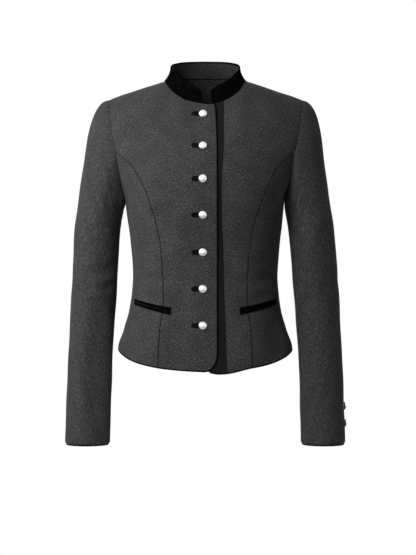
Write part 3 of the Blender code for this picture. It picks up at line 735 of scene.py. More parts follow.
def neck_seam_height(x, back):
    angle = np.abs(neck_angle(x))
    return along(NECKLINE, "seam", 180 - angle if back else angle)


EDGE_LEVEL = -116.0
NEAR_HEM = -500.0
NEAR_NECK = -50.0
NECK_SHARE = 0.6
ROW_STEP = 3.2
LOWER_LENGTH = 400.0
UPPER_LENGTH = 100.0
HEM_ROWS = 0.09 * np.arange(17) ** 2
TOP_ROWS = 2 - 0.0008 * np.arange(11)[::-1] ** 2
TOP_ROOM = 0.015

# Levels 0 to 2: close together at the hem, then even up to the armhole and the shoulder.
hem_levels = HEM_ROWS / LOWER_LENGTH
lower = even_steps(hem_levels[-1], 1, ROW_STEP / LOWER_LENGTH)[1:]
upper = even_steps(1, 2, ROW_STEP / UPPER_LENGTH)[1:-1]
panel_rows = np.concatenate([hem_levels, lower, upper[upper < TOP_ROWS[0] - TOP_ROOM], TOP_ROWS])


def shoulder_panel(edge, back, seam, junction, first_x, top_edge, low_edge, u, v):
    """A front or back, from its inner edge out to the shaping seam and the armhole."""

    def spot(x, z):
        return stacked(x, turn_at(x, z, back))

    hem_x = float(edge(low_edge(edge(NEAR_HEM), back)))
    hem_z = float(low_edge(hem_x, back))
    neck_x = float(edge(top_edge(edge(NEAR_NECK), back)))
    neck_z = float(top_edge(neck_x, back))
    height = np.where(v < 1, blend(hem_z, EDGE_LEVEL, v), blend(EDGE_LEVEL, neck_z, v - 1))
    near = spot(edge(height), height)
    seam_x, seam_z = seam(np.minimum(v, 1))
    hole_x, hole_z = armhole(blend(junction, 90.0, np.maximum(v - 1, 0)))
    below = v <= 1
    far = spot(np.where(below, seam_x, hole_x), np.where(below, seam_z, hole_z))
    x = blend(hem_x, float(seam(0.0)[0]), u)
    bottom = spot(x, low_edge(x, back))
    angle = blend(float(neck_angle(first_x)), 90.0, np.minimum(u / NECK_SHARE, 1))
    neck_line = NECK_HALF_WIDTH * np.sin(np.radians(angle))
    along_neck = spot(neck_line, top_edge(neck_line, back))
    out = blend(NECK_HALF_WIDTH, SHOULDER_TIP, np.maximum(u - NECK_SHARE, 0) / (1 - NECK_SHARE))
    along_shoulder = np.stack([out, np.zeros_like(out)], axis=-1)
    top = np.where((u < NECK_SHARE)[:, None], along_neck, along_shoulder)
    cover = patch(near, far, bottom, top, u, v / 2)
    return shaped(draped(cover[..., 0], np.maximum(cover[..., 1], 0), back), u, v)

# %% [markdown]
# # The wool
# The cloth is a fulled charcoal melange: dark and light fibres are mixed before spinning, so
# its grey is made of tiny flecks, with faint lines where the yarns of warp and weft run. A
# picture of cloth could be wrapped round the panels, but flecks drawn from noise on the
# panel's own lengths stay sharp at any distance and have no repeats. The nap gives wool a
# soft glow near its edges, which is what the sheen is for.

# %% Noise and colours for shader trees
def noise(tree, lengths, stretch, scale, detail=2.0):
    """Noise on the cloth's lengths, stretched along warp or weft."""
    placed = add(tree, "ShaderNodeMapping", Vector=lengths, Scale=(*stretch, 1.0))
    made = add(
        tree, "ShaderNodeTexNoise", Vector=placed.outputs["Vector"], Scale=scale, Detail=detail
    )
    return made.outputs["Fac"]


def between(tree, value, low, high):
    """Stretch a noise so that low becomes 0 and high becomes 1."""
    return add(tree, "ShaderNodeMapRange", Value=value, From_Min=low, From_Max=high).outputs["Result"]


def colours(tree, value, *stops):
    """A colour ramp from (place, colour) pairs."""
    ramp = add(tree, "ShaderNodeValToRGB", Fac=value)
    points = ramp.color_ramp.elements
    while len(points) < len(stops):
        points.new(0.5)
    for point, (place, colour) in zip(points, stops):
        point.position = place
        point.color = (*colour, 1.0)
    return ramp.outputs["Color"]


def mean_of(tree, first, second, share):
    """A mix of two values, with this share of the second."""
    return add(tree, "ShaderNodeMix", Factor=share, A=first, B=second).outputs["Result"]


def paint(tree, shader, colour, height, strength, distance):
    """Link a colour, and a small relief of this height in metres, to a shader."""
    bump = add(tree, "ShaderNodeBump", Strength=strength, Distance=distance, Height=height)
    tree.links.new(colour, shader.inputs["Base Color"])
    tree.links.new(bump.outputs["Normal"], shader.inputs["Normal"])


# %% Charcoal wool
WOOL_DARK = (0.022, 0.021, 0.023)
WOOL_MIDDLE = (0.052, 0.049, 0.052)
WOOL_LIGHT = (0.135, 0.128, 0.134)
TUFT_SCALE = 480.0
FLECK_SCALE = 900.0
YARN_SCALE = 640.0
YARN_STRETCH = 0.3
CLOUD_SCALE = 30.0
NAP_SCALE = 1500.0
MELANGE_RANGE = (0.41, 0.62)
WAVE_REPEAT = 0.628
TWILL_STEP = 0.00176
FACING_PAINTED_SHADE = 0.55
SEAM_DARKEST = 0.12


def make_wool(name, shade):
    material, tree, shader = new_finish(
        name,
        Roughness=0.9,
        Specular_IOR_Level=0.05,
        Sheen_Weight=0.12,
        Sheen_Roughness=0.45,
        Sheen_Tint=(0.8, 0.78, 0.8, 1.0),
    )
    lengths = add(tree, "ShaderNodeUVMap", {"uv_map": "cloth"}).outputs["UV"]
    tufts = noise(tree, lengths, (1, 1), TUFT_SCALE)
    flecks = noise(tree, lengths, (1, 1), FLECK_SCALE)
    warp = noise(tree, lengths, (1, YARN_STRETCH), YARN_SCALE)
    weft = noise(tree, lengths, (YARN_STRETCH, 1), YARN_SCALE)
    clouds = noise(tree, lengths, (1, 1), CLOUD_SCALE)
    mixed = mean_of(tree, tufts, flecks, 0.35)
    mixed = mean_of(tree, mixed, mean_of(tree, warp, weft, 0.5), 0.35)
    mixed = mean_of(tree, mixed, clouds, 0.08)
    melange = between(tree, mixed, *MELANGE_RANGE)
    greys = [tuple(shade * part for part in grey) for grey in (WOOL_DARK, WOOL_MIDDLE, WOOL_LIGHT)]
    colour = colours(tree, melange, *zip((0.0, 0.5, 1.0), greys))
    # Painted shade: the colour darkens steeply along each sewn edge, for the seam's shadowed groove.
    sewn = add(tree, "ShaderNodeAttribute", {"attribute_name": "seam shade"})
    painted_seam_shade = add(tree, "ShaderNodeMapRange", Value=sewn.outputs["Fac"], To_Min=SEAM_DARKEST)
    darkened = add(
        tree,
        "ShaderNodeVectorMath",
        {"operation": "SCALE"},
        Vector=colour,
        Scale=painted_seam_shade.outputs["Result"],
    )
    twill = add(
        tree,
        "ShaderNodeTexWave",
        {"bands_direction": "DIAGONAL"},
        Vector=lengths,
        Scale=WAVE_REPEAT / TWILL_STEP,
        Distortion=2.5,
        Detail=1.0,
        Detail_Scale=2.0,
    )
    nap = noise(tree, lengths, (1, 1), NAP_SCALE)
    relief = mean_of(tree, twill.outputs["Fac"], nap, 0.55)
    paint(tree, shader, darkened.outputs["Vector"], relief, 0.35, 0.0004)
    return material


wool = make_wool("charcoal wool", 1.0)
# The facing is the same wool painted darker: painted shade for the shadowed inside of the collar and neck.
shaded_facing_wool = make_wool("facing wool painted darker for shade", FACING_PAINTED_SHADE)


# %% Smooth dark cloth of the band
def make_band_cloth():
    material, tree, shader = new_finish("dark band cloth", Roughness=0.75, Specular_IOR_Level=0.1)
    lengths = add(tree, "ShaderNodeUVMap", {"uv_map": "cloth"}).outputs["UV"]
    ribs = noise(tree, lengths, (0.05, 1), 1400)
    colour = colours(tree, ribs, (0.35, (0.006, 0.006, 0.006)), (0.7, (0.011, 0.011, 0.011)))
    paint(tree, shader, colour, ribs, 0.2, 0.0003)
    return material


band_cloth = make_band_cloth()


# %% Black velvet
def make_velvet():
    """Velvet swallows light where it is seen from above its pile, and glows a little aslant."""
    material, tree, shader = new_finish(
        "black velvet",
        Roughness=1.0,
        Specular_IOR_Level=0.0,
        Sheen_Weight=0.03,
        Sheen_Roughness=0.35,
        Sheen_Tint=(0.5, 0.5, 0.52, 1.0),
    )
    place = add(tree, "ShaderNodeTexCoord").outputs["Object"]
    brushed = noise(tree, place, (1, 1), 120, 3)
    colour = colours(tree, brushed, (0.3, (0.0014, 0.0014, 0.0015)), (0.75, (0.0042, 0.0041, 0.0043)))
    pile = noise(tree, place, (1, 1), 2600, 1)
    paint(tree, shader, colour, pile, 0.3, 0.0003)
    return material


velvet = make_velvet()

# %% [markdown]
# # The fronts
# The wearer's right front laps over the left one and ends in a straight edge with rounded
# corners. Both are cut with the same shaping seam, so one surface rule serves both, read from
# the middle outwards. The right front is drawn as if it were a left one and then mirrored.

# %% The right front
FRONT_EDGE = 21.0
HEM_CORNER_WIDTH = 20.0
HEM_CORNER_HEIGHT = 32.0
NECK_CORNER = 6.0
HEM_LIFT = 0.9
HEM_LIFT_RAMP = 26.0
HEM_LIFT_FADE = 54.0
FREE_NECK_DROP = 1.8
COLLAR_END_RIGHT = 6.0
COLLAR_END_LEFT = 11.0


def right_hem_height(x, back):
    """The right front's hem, which lifts a little beside its rounded corner."""
    lifted = ease((x + FRONT_EDGE) / HEM_LIFT_RAMP) * (1 - ease((x - HEM_LIFT_FADE) / HEM_LIFT_RAMP))
    return hem_height(x, back) + HEM_LIFT * lifted


def right_neck_edge(x, back):
    """The neck seam of the right front, which runs on a little lower past the collar's end."""
    return neck_seam_height(x, back) - FREE_NECK_DROP * ease((COLLAR_END_RIGHT - x) / COLLAR_END_LEFT)


def right_front_edge(z):
    """The overlapping front's free edge, with its two rounded corners."""
    hem = right_hem_height(FRONT_EDGE, False)
    neck = right_neck_edge(-FRONT_EDGE, False)
    low = 1 - np.clip((z - hem) / HEM_CORNER_HEIGHT, 0.0, 1.0)
    high = NECK_CORNER - np.clip(neck - z, 0.0, NECK_CORNER)
    inset = HEM_CORNER_WIDTH * (1 - np.sqrt(1 - low**2))
    inset = inset + NECK_CORNER - np.sqrt(NECK_CORNER**2 - high**2)
    return -FRONT_EDGE + inset


neck_corner_x = float(right_front_edge(right_neck_edge(-FRONT_EDGE, False)))
front_form = shoulder_panel(
    right_front_edge,
    False,
    front_seam,
    FRONT_JUNCTION,
    neck_corner_x,
    right_neck_edge,
    right_hem_height,
    fine_ends(46),
    panel_rows,
)
front_right_panel = creased(mirrored(front_form))
front_right = cloth("wool_front_right", front_right_panel, CLOTH, wool, SEAM_RIMS)
dress(front_right, ["front_right"])

# %% The left front
# (z, x) pairs, from the hem up.
BAND_SEAM = [
    (-518, 38.5),
    (-470, 36.5),
    (-430, 35),
    (-360, 32.5),
    (-300, 31.5),
    (-235, 28.5),
    (-185, 28.5),
    (-118, 32),
    (-40, 32.5),
]
UNDERLAP_DEPTH = CLOTH + SEAM_GAP
UNDERLAP_FULL = 26.0
UNDERLAP_FADE = 38.0
UNDERLAP_LONGER = 4.4
LONGER_RAMP = 26.0
LONGER_FADE = 34.0


def band_seam(z):
    return curve([row[0] for row in BAND_SEAM], [row[1] for row in BAND_SEAM], z)


def left_hem_height(x, back):
    """The left front hangs a little lower where it comes out from under the right one."""
    longer = ease(x / LONGER_RAMP) * (1 - ease((x - LONGER_FADE) / (FRONT_SEAM_HEM - LONGER_FADE)))
    return hem_height(x, back) - UNDERLAP_LONGER * longer


def underlap(points):
    """How far the left front lies inside the form, where the right one covers it."""
    return UNDERLAP_DEPTH * (1 - ease((points[..., 0] - UNDERLAP_FULL) / UNDERLAP_FADE))


front_form = shoulder_panel(
    band_seam,
    False,
    front_seam,
    FRONT_JUNCTION,
    BAND_SEAM[-1][1],
    neck_seam_height,
    left_hem_height,
    fine_ends(42),
    panel_rows,
)
front_left_panel = creased(front_form, underlap(front_form.points))
front_left = cloth("wool_front_left", front_left_panel, CLOTH, wool, SEAM_RIMS)
dress(front_left, ["front_left"])

# %% [markdown]
# # The button band
# The buttons stand on a smooth dark strip sewn to the left front. Most of it lies under the
# right front, and a narrow stripe of it shows beside the edge. It could be painted on the
# left front as a stripe, but the step in depth is what throws the dark line.

# %% The band
BAND_HIDDEN_EDGE = -20.0


def band_panel(u, v):
    level_low = blend(float(left_hem_height(band_seam(NEAR_HEM), False)), EDGE_LEVEL, v)
    level_high = blend(EDGE_LEVEL, float(neck_seam_height(band_seam(NEAR_NECK), False)), v - 1)
    seam_x = band_seam(np.where(v < 1, level_low, level_high))[:, None]
    x = blend(BAND_HIDDEN_EDGE, seam_x, u[None])
    rise = v[:, None]
    low = blend(left_hem_height(x, False), EDGE_LEVEL, rise)
    high = blend(EDGE_LEVEL, neck_seam_height(x, False), rise - 1)
    z = np.where(rise < 1, low, high)
    return shaped(on_form(x, z, False), u, v)


band_form = band_panel(fine_ends(18), panel_rows)
band = creased(band_form, underlap(band_form.points))
button_band = cloth("band_strip", band, CLOTH, band_cloth, SEAM_RIMS)
dress(button_band, ["button_band"])

# %% [markdown]
# # The sides and backs
# A side panel runs from the front shaping seam round under the arm to the back one, so it is
# read by its angle round the body and not by its distance from the middle. The back is a
# mirror of itself about the centre seam. Nothing of the back shows in the photograph, so it
# is cut plainly, with the two shaping seams that such a jacket has.

# %% The side panels
UNDER_ARM_ROWS = 1 - 0.0005 * np.arange(6)[::-1] ** 2
UNDER_ARM_START = 0.975
side_rows = np.concatenate([panel_rows[panel_rows < UNDER_ARM_START], UNDER_ARM_ROWS])


def side_panel(u, v):
    def spot(x, z, back):
        return stacked(angle_at(x, z, back), z)

    near = spot(*front_seam(v), False)
    far = spot(*back_seam(v), True)
    angle = blend(near[0, 0], far[0, 0], u)
    bottom = np.stack([angle, along(HEM, "z", angle)], axis=-1)
    hole_angle = blend(FRONT_JUNCTION, BACK_JUNCTION - 360.0, u)
    hole_x, hole_z = armhole(hole_angle)
    top = spot(hole_x, hole_z, hole_angle < -90)
    cover = patch(near, far, bottom, top, u, v)
    return shaped(wrapped(cover[..., 0], cover[..., 1]), u, v)


side_form = side_panel(fine_ends(40), side_rows)
side_panels = {}
for name, form in both_sides(side_form):
    panel = creased(form)
    side_panels[name] = panel
    piece = cloth(f"wool_side_{name}", panel, CLOTH, wool, SEAM_RIMS)
    dress(piece, [f"side_{name}"])


# %% The back panels
def back_panel(u, v):
    return shoulder_panel(
        np.zeros_like, True, back_seam, BACK_JUNCTION, 0.0, neck_seam_height, hem_height, u, v
    )


back_form = back_panel(fine_ends(44), panel_rows)
back_panels = {}
for name, form in both_sides(back_form):
    panel = creased(form)
    back_panels[name] = panel
    piece = cloth(f"wool_back_{name}", panel, CLOTH, wool, SEAM_RIMS)
    dress(piece, [f"back_{name}"])

# %% [markdown]
# # The sleeves
# A tailored sleeve is cut in two pieces, a wide top one and a narrow under one, so that it
# can bend forward at the elbow. It is sewn into the armhole with a little fullness at its
# head. A bent tube would do for the arm, but the head has to leave the armhole at every
# angle, so a curve runs from each point of the armhole to the first level ring of the arm.

# %% The sleeve's form
SleeveSection = namedtuple("SleeveSection", "z x half_width y half_depth")
SLEEVE = [
    SleeveSection(-650, 210.0, 40.2, -33, 40),
    SleeveSection(-571, 208.8, 39.8, -19, 41),
    SleeveSection(-517, 207.4, 39.6, -9, 42),
    SleeveSection(-463, 205.2, 39.9, -1, 43),
    SleeveSection(-409, 202.2, 40.5, 5, 45),
    SleeveSection(-355, 198.5, 40.9, 8, 47),
    SleeveSection(-300, 194.3, 41.2, 7, 50),
    SleeveSection(-250, 189.2, 41.8, 5, 54),
]
SLEEVE_JOIN = -250.0
SLEEVE_HEM = -645.8
SLEEVE_START_GAP = -1.1
HIND_SEAM_CUFF = 128.0
HEAD_FULLNESS = 0.9
CUFF_ROLL = 2.4
CUFF_ROLL_LEVEL = 1.988
SLEEVE_RIMS = Rims(1.2, 1.2, 0.9, 1.4)
# How the head leaves the armhole under the arm and over the shoulder, and reaches the arm.
LEAVING_LOW = np.array([0.08, 0.0, -1.0])
LEAVING_HIGH = np.array([1.04, 0.0, -0.08])
LEAVING_OVER = 1.5
LEAVING_FORWARDS = 0.1
LEAVING_SHORTER = 0.45
ARRIVING = np.array([0.14, 0.03, -1.0])
ARRIVING_REACH = 0.9
FULL_FROM = 0.12
FULL_UNTIL = 0.7
FULL_FADE = 0.5
STEPS_TO_SEAM = 7
STEPS_UNDER_ARM = 8


def sleeve_ring(angle, z):
    """A point of the arm's level section: angle 0 is its front, and 90 its outer side."""
    turned = np.radians(angle)
    x = along(SLEEVE, "x", z) + along(SLEEVE, "half_width", z) * np.sin(turned)
    y = along(SLEEVE, "y", z) - along(SLEEVE, "half_depth", z) * np.cos(turned)
    return stacked(x, y, z)


def sleeve_point(angle, level):
    """Level 0 is the armhole, 1 the first level ring below it, and 2 the cuff."""
    x, z = armhole(angle)
    back = np.cos(np.radians(angle)) < 0
    start = on_form(x, z, back) + np.array([SLEEVE_START_GAP, 0, 0])
    end = sleeve_ring(angle, np.full(angle.shape, SLEEVE_JOIN))
    reach = np.linalg.norm(end - start, axis=-1)
    lift = (1 + np.sin(np.radians(angle))) / 2
    leaving = blend(LEAVING_LOW, LEAVING_HIGH, (lift**LEAVING_OVER)[..., None])
    leaving[..., 1] = -LEAVING_FORWARDS * np.cos(np.radians(angle))
    leaving = leaving * (reach * (1 - LEAVING_SHORTER * lift))[..., None]
    arriving = ARRIVING * (reach * ARRIVING_REACH)[..., None]
    t = np.minimum(level, 1)[..., None]
    head = start * (1 + 2 * t) * (1 - t) ** 2 + end * (3 - 2 * t) * t**2
    head = head + leaving * t * (1 - t) ** 2 - arriving * (1 - t) * t**2
    arm = sleeve_ring(angle, blend(SLEEVE_JOIN, SLEEVE_HEM, np.maximum(level - 1, 0)))
    return np.where(level[..., None] > 1, arm, head)


# %% Columns round the sleeve
ring_angles = np.concatenate(
    [
        np.linspace(90, FRONT_JUNCTION, STEPS_TO_SEAM + 1),
        np.linspace(FRONT_JUNCTION, BACK_JUNCTION - 360, STEPS_UNDER_ARM + 1)[1:],
        np.linspace(BACK_JUNCTION - 360, -270, STEPS_TO_SEAM + 1)[1:],
    ]
)
HIND_SEAM_REACH = 60.0
SLEEVE_MIDDLE = np.array([195.0, 0.0, 0.0])
FRONT_SEAM_COLUMN = STEPS_TO_SEAM + 3
HIND_SEAM_COLUMN = len(ring_angles) - 4
last_column = len(ring_angles) - 1
columns_round = np.arange(-last_column, last_column + 1)
angles_round = np.concatenate([ring_angles[:-1] + 360, ring_angles])


def sleeve_panel(first, last, u, v):
    """A sleeve cloth between two of the ring's columns, counted from the top to the front."""
    angle = np.interp(blend(first, last, u), columns_round, angles_round)[None]
    hind = ring_angles[HIND_SEAM_COLUMN]
    level = v[:, None]
    # The hind seam slides from behind the shoulder to the outside of the cuff.
    slide = (HIND_SEAM_CUFF - 360 - hind) * ease(level / 2)
    after = np.where(angle <= 0, angle, angle - 360)
    share = np.exp(-(((after - hind) / HIND_SEAM_REACH) ** 2))
    turned, level = np.broadcast_arrays(angle + slide * share, level)
    form = shaped(sleeve_point(turned, level), u, v, lambda p: p * [0, 0, 1] + SLEEVE_MIDDLE)
    lift = ((1 + np.sin(np.radians(turned))) / 2) ** 2
    fullness = HEAD_FULLNESS * ease(level / FULL_FROM) * ease((FULL_UNTIL - level) / FULL_FADE) * lift
    return form, fullness, level


# %% Cut the sleeves
Lean = namedtuple("Lean", "z span shift")
SLEEVE_LEANS = {"right": Lean(-262, 75, -3.2), "left": Lean(-150, 70, -4.2)}
LEAN_CALM = 0.5


def leaned(panel, lean, level):
    """The sleeve moved sideways round one height, as it hangs, and still at the armhole."""
    share = np.exp(-(((panel.points[..., 2] - lean.z) / lean.span) ** 2))
    shift = lean.shift * share * ease(level / LEAN_CALM)
    return Panel(panel.points + shift[..., None] * np.array([1, 0, 0]), panel.normals)


SLEEVE_STEP = 3.6
HEAD_LENGTH = 190.0
ARM_LENGTH = 400.0
HEAD_ROWS = 0.0012 * np.arange(7) ** 1.6
CUFF_ROWS = 2 - 0.00045 * np.arange(6)[::-1] ** 2
EVEN_ROWS = (0.045, 1.982)

head_rows = even_steps(EVEN_ROWS[0], 1.0, SLEEVE_STEP / HEAD_LENGTH)
arm_rows = even_steps(1.0, EVEN_ROWS[1], SLEEVE_STEP / ARM_LENGTH)[1:]
sleeve_rows = np.concatenate([HEAD_ROWS, head_rows, arm_rows, CUFF_ROWS])
under_columns = fine_ends(24)
top_columns = fine_ends(44)
SLEEVE_PIECES = [
    ("top_sleeve", HIND_SEAM_COLUMN - last_column, FRONT_SEAM_COLUMN, top_columns),
    ("under_sleeve", FRONT_SEAM_COLUMN, HIND_SEAM_COLUMN, under_columns),
]
sleeve_panels = {}
for piece_name, first, last, columns in SLEEVE_PIECES:
    form, fullness, level = sleeve_panel(first, last, columns, sleeve_rows)
    roll = CUFF_ROLL * np.clip((level - CUFF_ROLL_LEVEL) / (2 - CUFF_ROLL_LEVEL), 0, 1) ** 2
    for name, turned_form in both_sides(form):
        panel = sunk(turned_form, sleeve_creases(turned_form.points, level) - fullness + roll)
        panel = leaned(panel, SLEEVE_LEANS[name], level)
        sleeve_panels[piece_name, name] = panel
        piece = cloth(f"wool_{piece_name}_{name}", panel, CLOTH, wool, SLEEVE_RIMS)
        dress(piece, [f"{piece_name}_{name}"])

# %% [markdown]
# # The stand collar
# The collar is a shaped strip: velvet outside, rolled over the top edge, and plain cloth
# inside. Its ends stop short of each other, with their corners rounded. A tube swept along
# the neck would keep one height all round, but this strip is higher behind than in front.

# %% The collar
COLLAR_TOP_HALF_WIDTH = 62.6
COLLAR_TOP_FRONT = 51.0
COLLAR_TOP_BACK = 50.0
COLLAR_CORNER = 5.0
COLLAR_HOLLOW = 2.6
COLLAR_RIPPLE = 0.066
COLLAR_RIPPLE_RATE = 0.09
COLLAR_RIMS = Rims(1.2, 1.2, 0.9, 1.2)
COLLAR_COLUMNS = 150
COLLAR_EVEN_FROM = 0.016
COLLAR_END = 0.011
FACING_TOP = 14 / 15
FACING_GAP = 0.45
FACING_RIMS = Rims(0.6, 0.6, 0.6, 0.6)


def collar_panel(u, v, top_share):
    """The strip from the right end round the back to the left end, read by angle."""
    first = -float(neck_angle(COLLAR_END_RIGHT))
    last = -(360.0 - float(neck_angle(COLLAR_END_LEFT)))
    angle = blend(first, last, u)
    turned = np.radians(angle)
    away = np.degrees(np.arccos(np.clip(np.cos(turned), -1, 1)))
    back = away > 90
    x = NECK_HALF_WIDTH * np.sin(turned)
    z = along(NECKLINE, "seam", away)
    low = on_form(x, z, back)
    depth = np.where(back, COLLAR_TOP_BACK, COLLAR_TOP_FRONT)
    high_z = along(NECKLINE, "top", away)
    high = np.stack([COLLAR_TOP_HALF_WIDTH * np.sin(turned), -depth * np.cos(turned), high_z], axis=-1)
    travel = lengths_along(high[None], 1)[0]
    from_end = np.minimum(travel, travel[-1] - travel)
    short = COLLAR_CORNER - np.clip(from_end, 0, COLLAR_CORNER)
    lower = COLLAR_CORNER - np.sqrt(COLLAR_CORNER**2 - short**2)
    height = np.linalg.norm(high - low, axis=-1)
    reach = (1 - lower / height) * top_share
    points = blend(low[None], high[None], v[:, None, None] * reach[None, :, None])
    form = shaped(points, u, v, lambda p: p * [0.2, 0.2, 1] - [0, 0, 10])
    hollow = COLLAR_HOLLOW * np.sin(np.pi * v)[:, None] * np.sin(turned) ** 2
    return form, hollow


collar_end = COLLAR_END * np.linspace(0, 1, 8) ** 2
collar_middle = np.linspace(COLLAR_EVEN_FROM, 1 - COLLAR_EVEN_FROM, COLLAR_COLUMNS)
collar_columns = np.concatenate([collar_end, collar_middle, 1 - collar_end[::-1]])
collar_rows = fine_ends(9, (0.0, 0.008, 0.02, 0.036, 0.054))
collar_form, hollow = collar_panel(collar_columns, collar_rows, 1.0)
ripple = COLLAR_RIPPLE * np.sin(collar_form.points[..., 0] * COLLAR_RIPPLE_RATE)
collar = sunk(collar_form, hollow + ripple)
collar_piece = cloth("velvet_collar", collar, VELVET, velvet, COLLAR_RIMS)
dress(collar_piece, ["collar_velvet"])

facing_form, hollow = collar_panel(collar_columns[3:-3], collar_rows, FACING_TOP)
facing = sunk(facing_form, VELVET + FACING_GAP + hollow)
facing_piece = cloth("wool_collar_facing", facing, FACING, shaded_facing_wool, FACING_RIMS)
dress(facing_piece, ["collar_facing"])

# %% The facing inside the back of the neck
FACING_LOW = 2 - 3 / 7
FACING_REACH = 0.4
FACING_LOWER = 0.1
FACING_ROW_STEP = 0.035
ROUND_ROWS = np.array([0, 0.004, 0.01])

facing_middle = even_steps(FACING_LOW + 0.02, 1.98, FACING_ROW_STEP)
facing_rows = np.concatenate([FACING_LOW + ROUND_ROWS, facing_middle, 2 - ROUND_ROWS[::-1]])
half = back_panel(np.linspace(0, FACING_REACH, 34), facing_rows)
flip = np.array([-1, 1, 1])
whole = Panel(*[np.concatenate([grid[:, :0:-1] * flip, grid], axis=1) for grid in half])
neck_facing = creased(whole, CLOTH + SEAM_GAP)
neck_facing.points[-1, :, 2] -= FACING_LOWER
neck_facing_piece = cloth("wool_neck_facing", neck_facing, FACING, shaded_facing_wool, FACING_RIMS)
dress(neck_facing_piece, ["back_neck_facing"])

# %% [markdown]
# # The pocket welts
# Each slanted pocket mouth has two narrow velvet lips. Each lip is a folded strip, so it is
# plump: thick along its middle and round at its edges. It is laid on the panel's own form,
# creases and all, so that it follows the hip.

# %% The welts
Pocket = namedtuple("Pocket", "x z welt")
POCKET_INNER = Pocket(60.0, -409.0, 6.2)
POCKET_OUTER = Pocket(125.0, -393.0, 4.8)
POCKET_SAG = 1.2
POCKET_SLIT = 0.6
WELT = 1.3
WELT_PLUMP = 0.7
WELT_RIMS = Rims(1.0, 1.0, 1.6, 1.6)


def welt_panel(upper, u, v):
    x = blend(POCKET_INNER.x, POCKET_OUTER.x, u)[None]
    mouth = (blend(POCKET_INNER.z, POCKET_OUTER.z, u) - POCKET_SAG * np.sin(np.pi * u))[None]
    height = blend(POCKET_INNER.welt, POCKET_OUTER.welt, u)[None]
    away = POCKET_SLIT / 2 + height * v[:, None]
    z = mouth + (away if upper else -away)
    return shaped(wrapped(angle_at(x, z, False), z), u, v)


welt_columns = fine_ends(40, (0.0, 0.004, 0.009, 0.016, 0.026))
welt_rows = np.linspace(0, 1, 13)
plump = WELT + SEAM_GAP + WELT_PLUMP * np.sin(np.pi * welt_rows)[:, None]
for upper, level_name in ((True, "upper"), (False, "lower")):
    form = welt_panel(upper, welt_columns, welt_rows)
    for name, turned_form in both_sides(form):
        panel = creased(turned_form, -plump)
        piece = cloth(f"velvet_welt_{level_name}_{name}", panel, WELT, velvet, WELT_RIMS)
        dress(piece, [f"pocket_welt_{level_name}_{name}"])

# %% [markdown]
# # The piped edges
# A thin velvet piping runs up the right front's edge, round its corner, along the whole hem
# and round both cuffs. Piping is a folded strip round a cord, so a round profile swept along
# the cloth's own edge is just what it is. Geometry Nodes do the sweep: the path is the only
# thing that differs between the four pieces.

# %% Trees of geometry nodes
def path_tree(name, lengths):
    """A new tree that takes a path, some lengths and a finish, and steps evenly along the path."""
    tree = bpy.data.node_groups.new(name, "GeometryNodeTree")
    sockets = tree.interface
    sockets.new_socket("Path", in_out="INPUT", socket_type="NodeSocketGeometry")
    for label, value in lengths.items():
        socket = sockets.new_socket(label, in_out="INPUT", socket_type="NodeSocketFloat")
        socket.default_value = value
    sockets.new_socket("Finish", in_out="INPUT", socket_type="NodeSocketMaterial")
    sockets.new_socket("Piece", in_out="OUTPUT", socket_type="NodeSocketGeometry")
    given = tree.nodes.new("NodeGroupInput").outputs
    line = add(tree, "GeometryNodeMeshToCurve", Mesh=given["Path"])
    even = add(
        tree,
        "GeometryNodeResampleCurve",
        {"mode": "LENGTH"},
        Curve=line.outputs["Curve"],
        Length=given["Spacing"],
    )
    return tree, given, even.outputs["Curve"]


def close_tree(tree, shape, finish):
    """Make the tree's shape one real, smooth mesh with its finish, and hand it out."""
    real = add(tree, "GeometryNodeRealizeInstances", Geometry=shape)
    smooth = add(tree, "GeometryNodeSetShadeSmooth", Geometry=real.outputs["Geometry"])
    painted = add(
        tree, "GeometryNodeSetMaterial", Geometry=smooth.outputs["Geometry"], Material=finish
    )
    end = tree.nodes.new("NodeGroupOutput")
    tree.links.new(painted.outputs["Geometry"], end.inputs["Piece"])
    return tree


def grown(name, points, tree, finish, closed=False, normals=None, breaks=()):
    """Grow a tree's piece along a path of points, and keep it as one plain mesh."""
    count = len(points)
    edges = [(index, index + 1) for index in range(count - 1) if index + 1 not in breaks]
    edges += [(count - 1, 0)] if closed else []
    line = bpy.data.meshes.new(name)
    line.from_pydata((np.asarray(points) * MM).tolist(), edges, [])
    if normals is not None:
        ways = line.attributes.new("way out", "FLOAT_VECTOR", "POINT")
        ways.data.foreach_set("vector", np.asarray(normals, np.float32).ravel())
    path = in_scene(name + " path", line)
    modifier = path.modifiers.new("grow", "NODES")
    modifier.node_group = tree
    modifier[tree.interface.items_tree["Finish"].identifier] = finish
    grown_path = path.evaluated_get(bpy.context.evaluated_depsgraph_get())
    mesh = bpy.data.meshes.new_from_object(grown_path)
    bpy.data.objects.remove(path)
    mesh.name = name
    print(f"{name}: {len(mesh.polygons)} faces")
    return in_scene(name, mesh)


# %% The piping tree
PIPING_RADIUS = 1.0
PIPING_STEP = 2.5
PIPING_SIDES = 12


def make_piping_tree():
    lengths = {"Radius": PIPING_RADIUS * MM, "Spacing": PIPING_STEP * MM}
    tree, given, line = path_tree("piping", lengths)
    ring = add(
        tree, "GeometryNodeCurvePrimitiveCircle", Resolution=PIPING_SIDES, Radius=given["Radius"]
    )
    swept = add(
        tree,
        "GeometryNodeCurveToMesh",
        Curve=line,
        Profile_Curve=ring.outputs["Curve"],
        Fill_Caps=True,
    )
    return close_tree(tree, swept.outputs["Mesh"], given["Finish"])


piping_tree = make_piping_tree()

# %% Paths along the cloth's edges
PIPING_OUT = 0.9
EDGE_POINT_STEP = 1.5

row_first, row_last = (0, slice(None)), (-1, slice(None))
column_first = (slice(None), 0)


def edge_of(panel, edge, backwards=False):
    """Middle points and normals along one edge of a panel."""
    points = (panel.points - panel.normals * CLOTH / 2)[edge]
    normals = panel.normals[edge]
    return (points[::-1], normals[::-1]) if backwards else (points, normals)


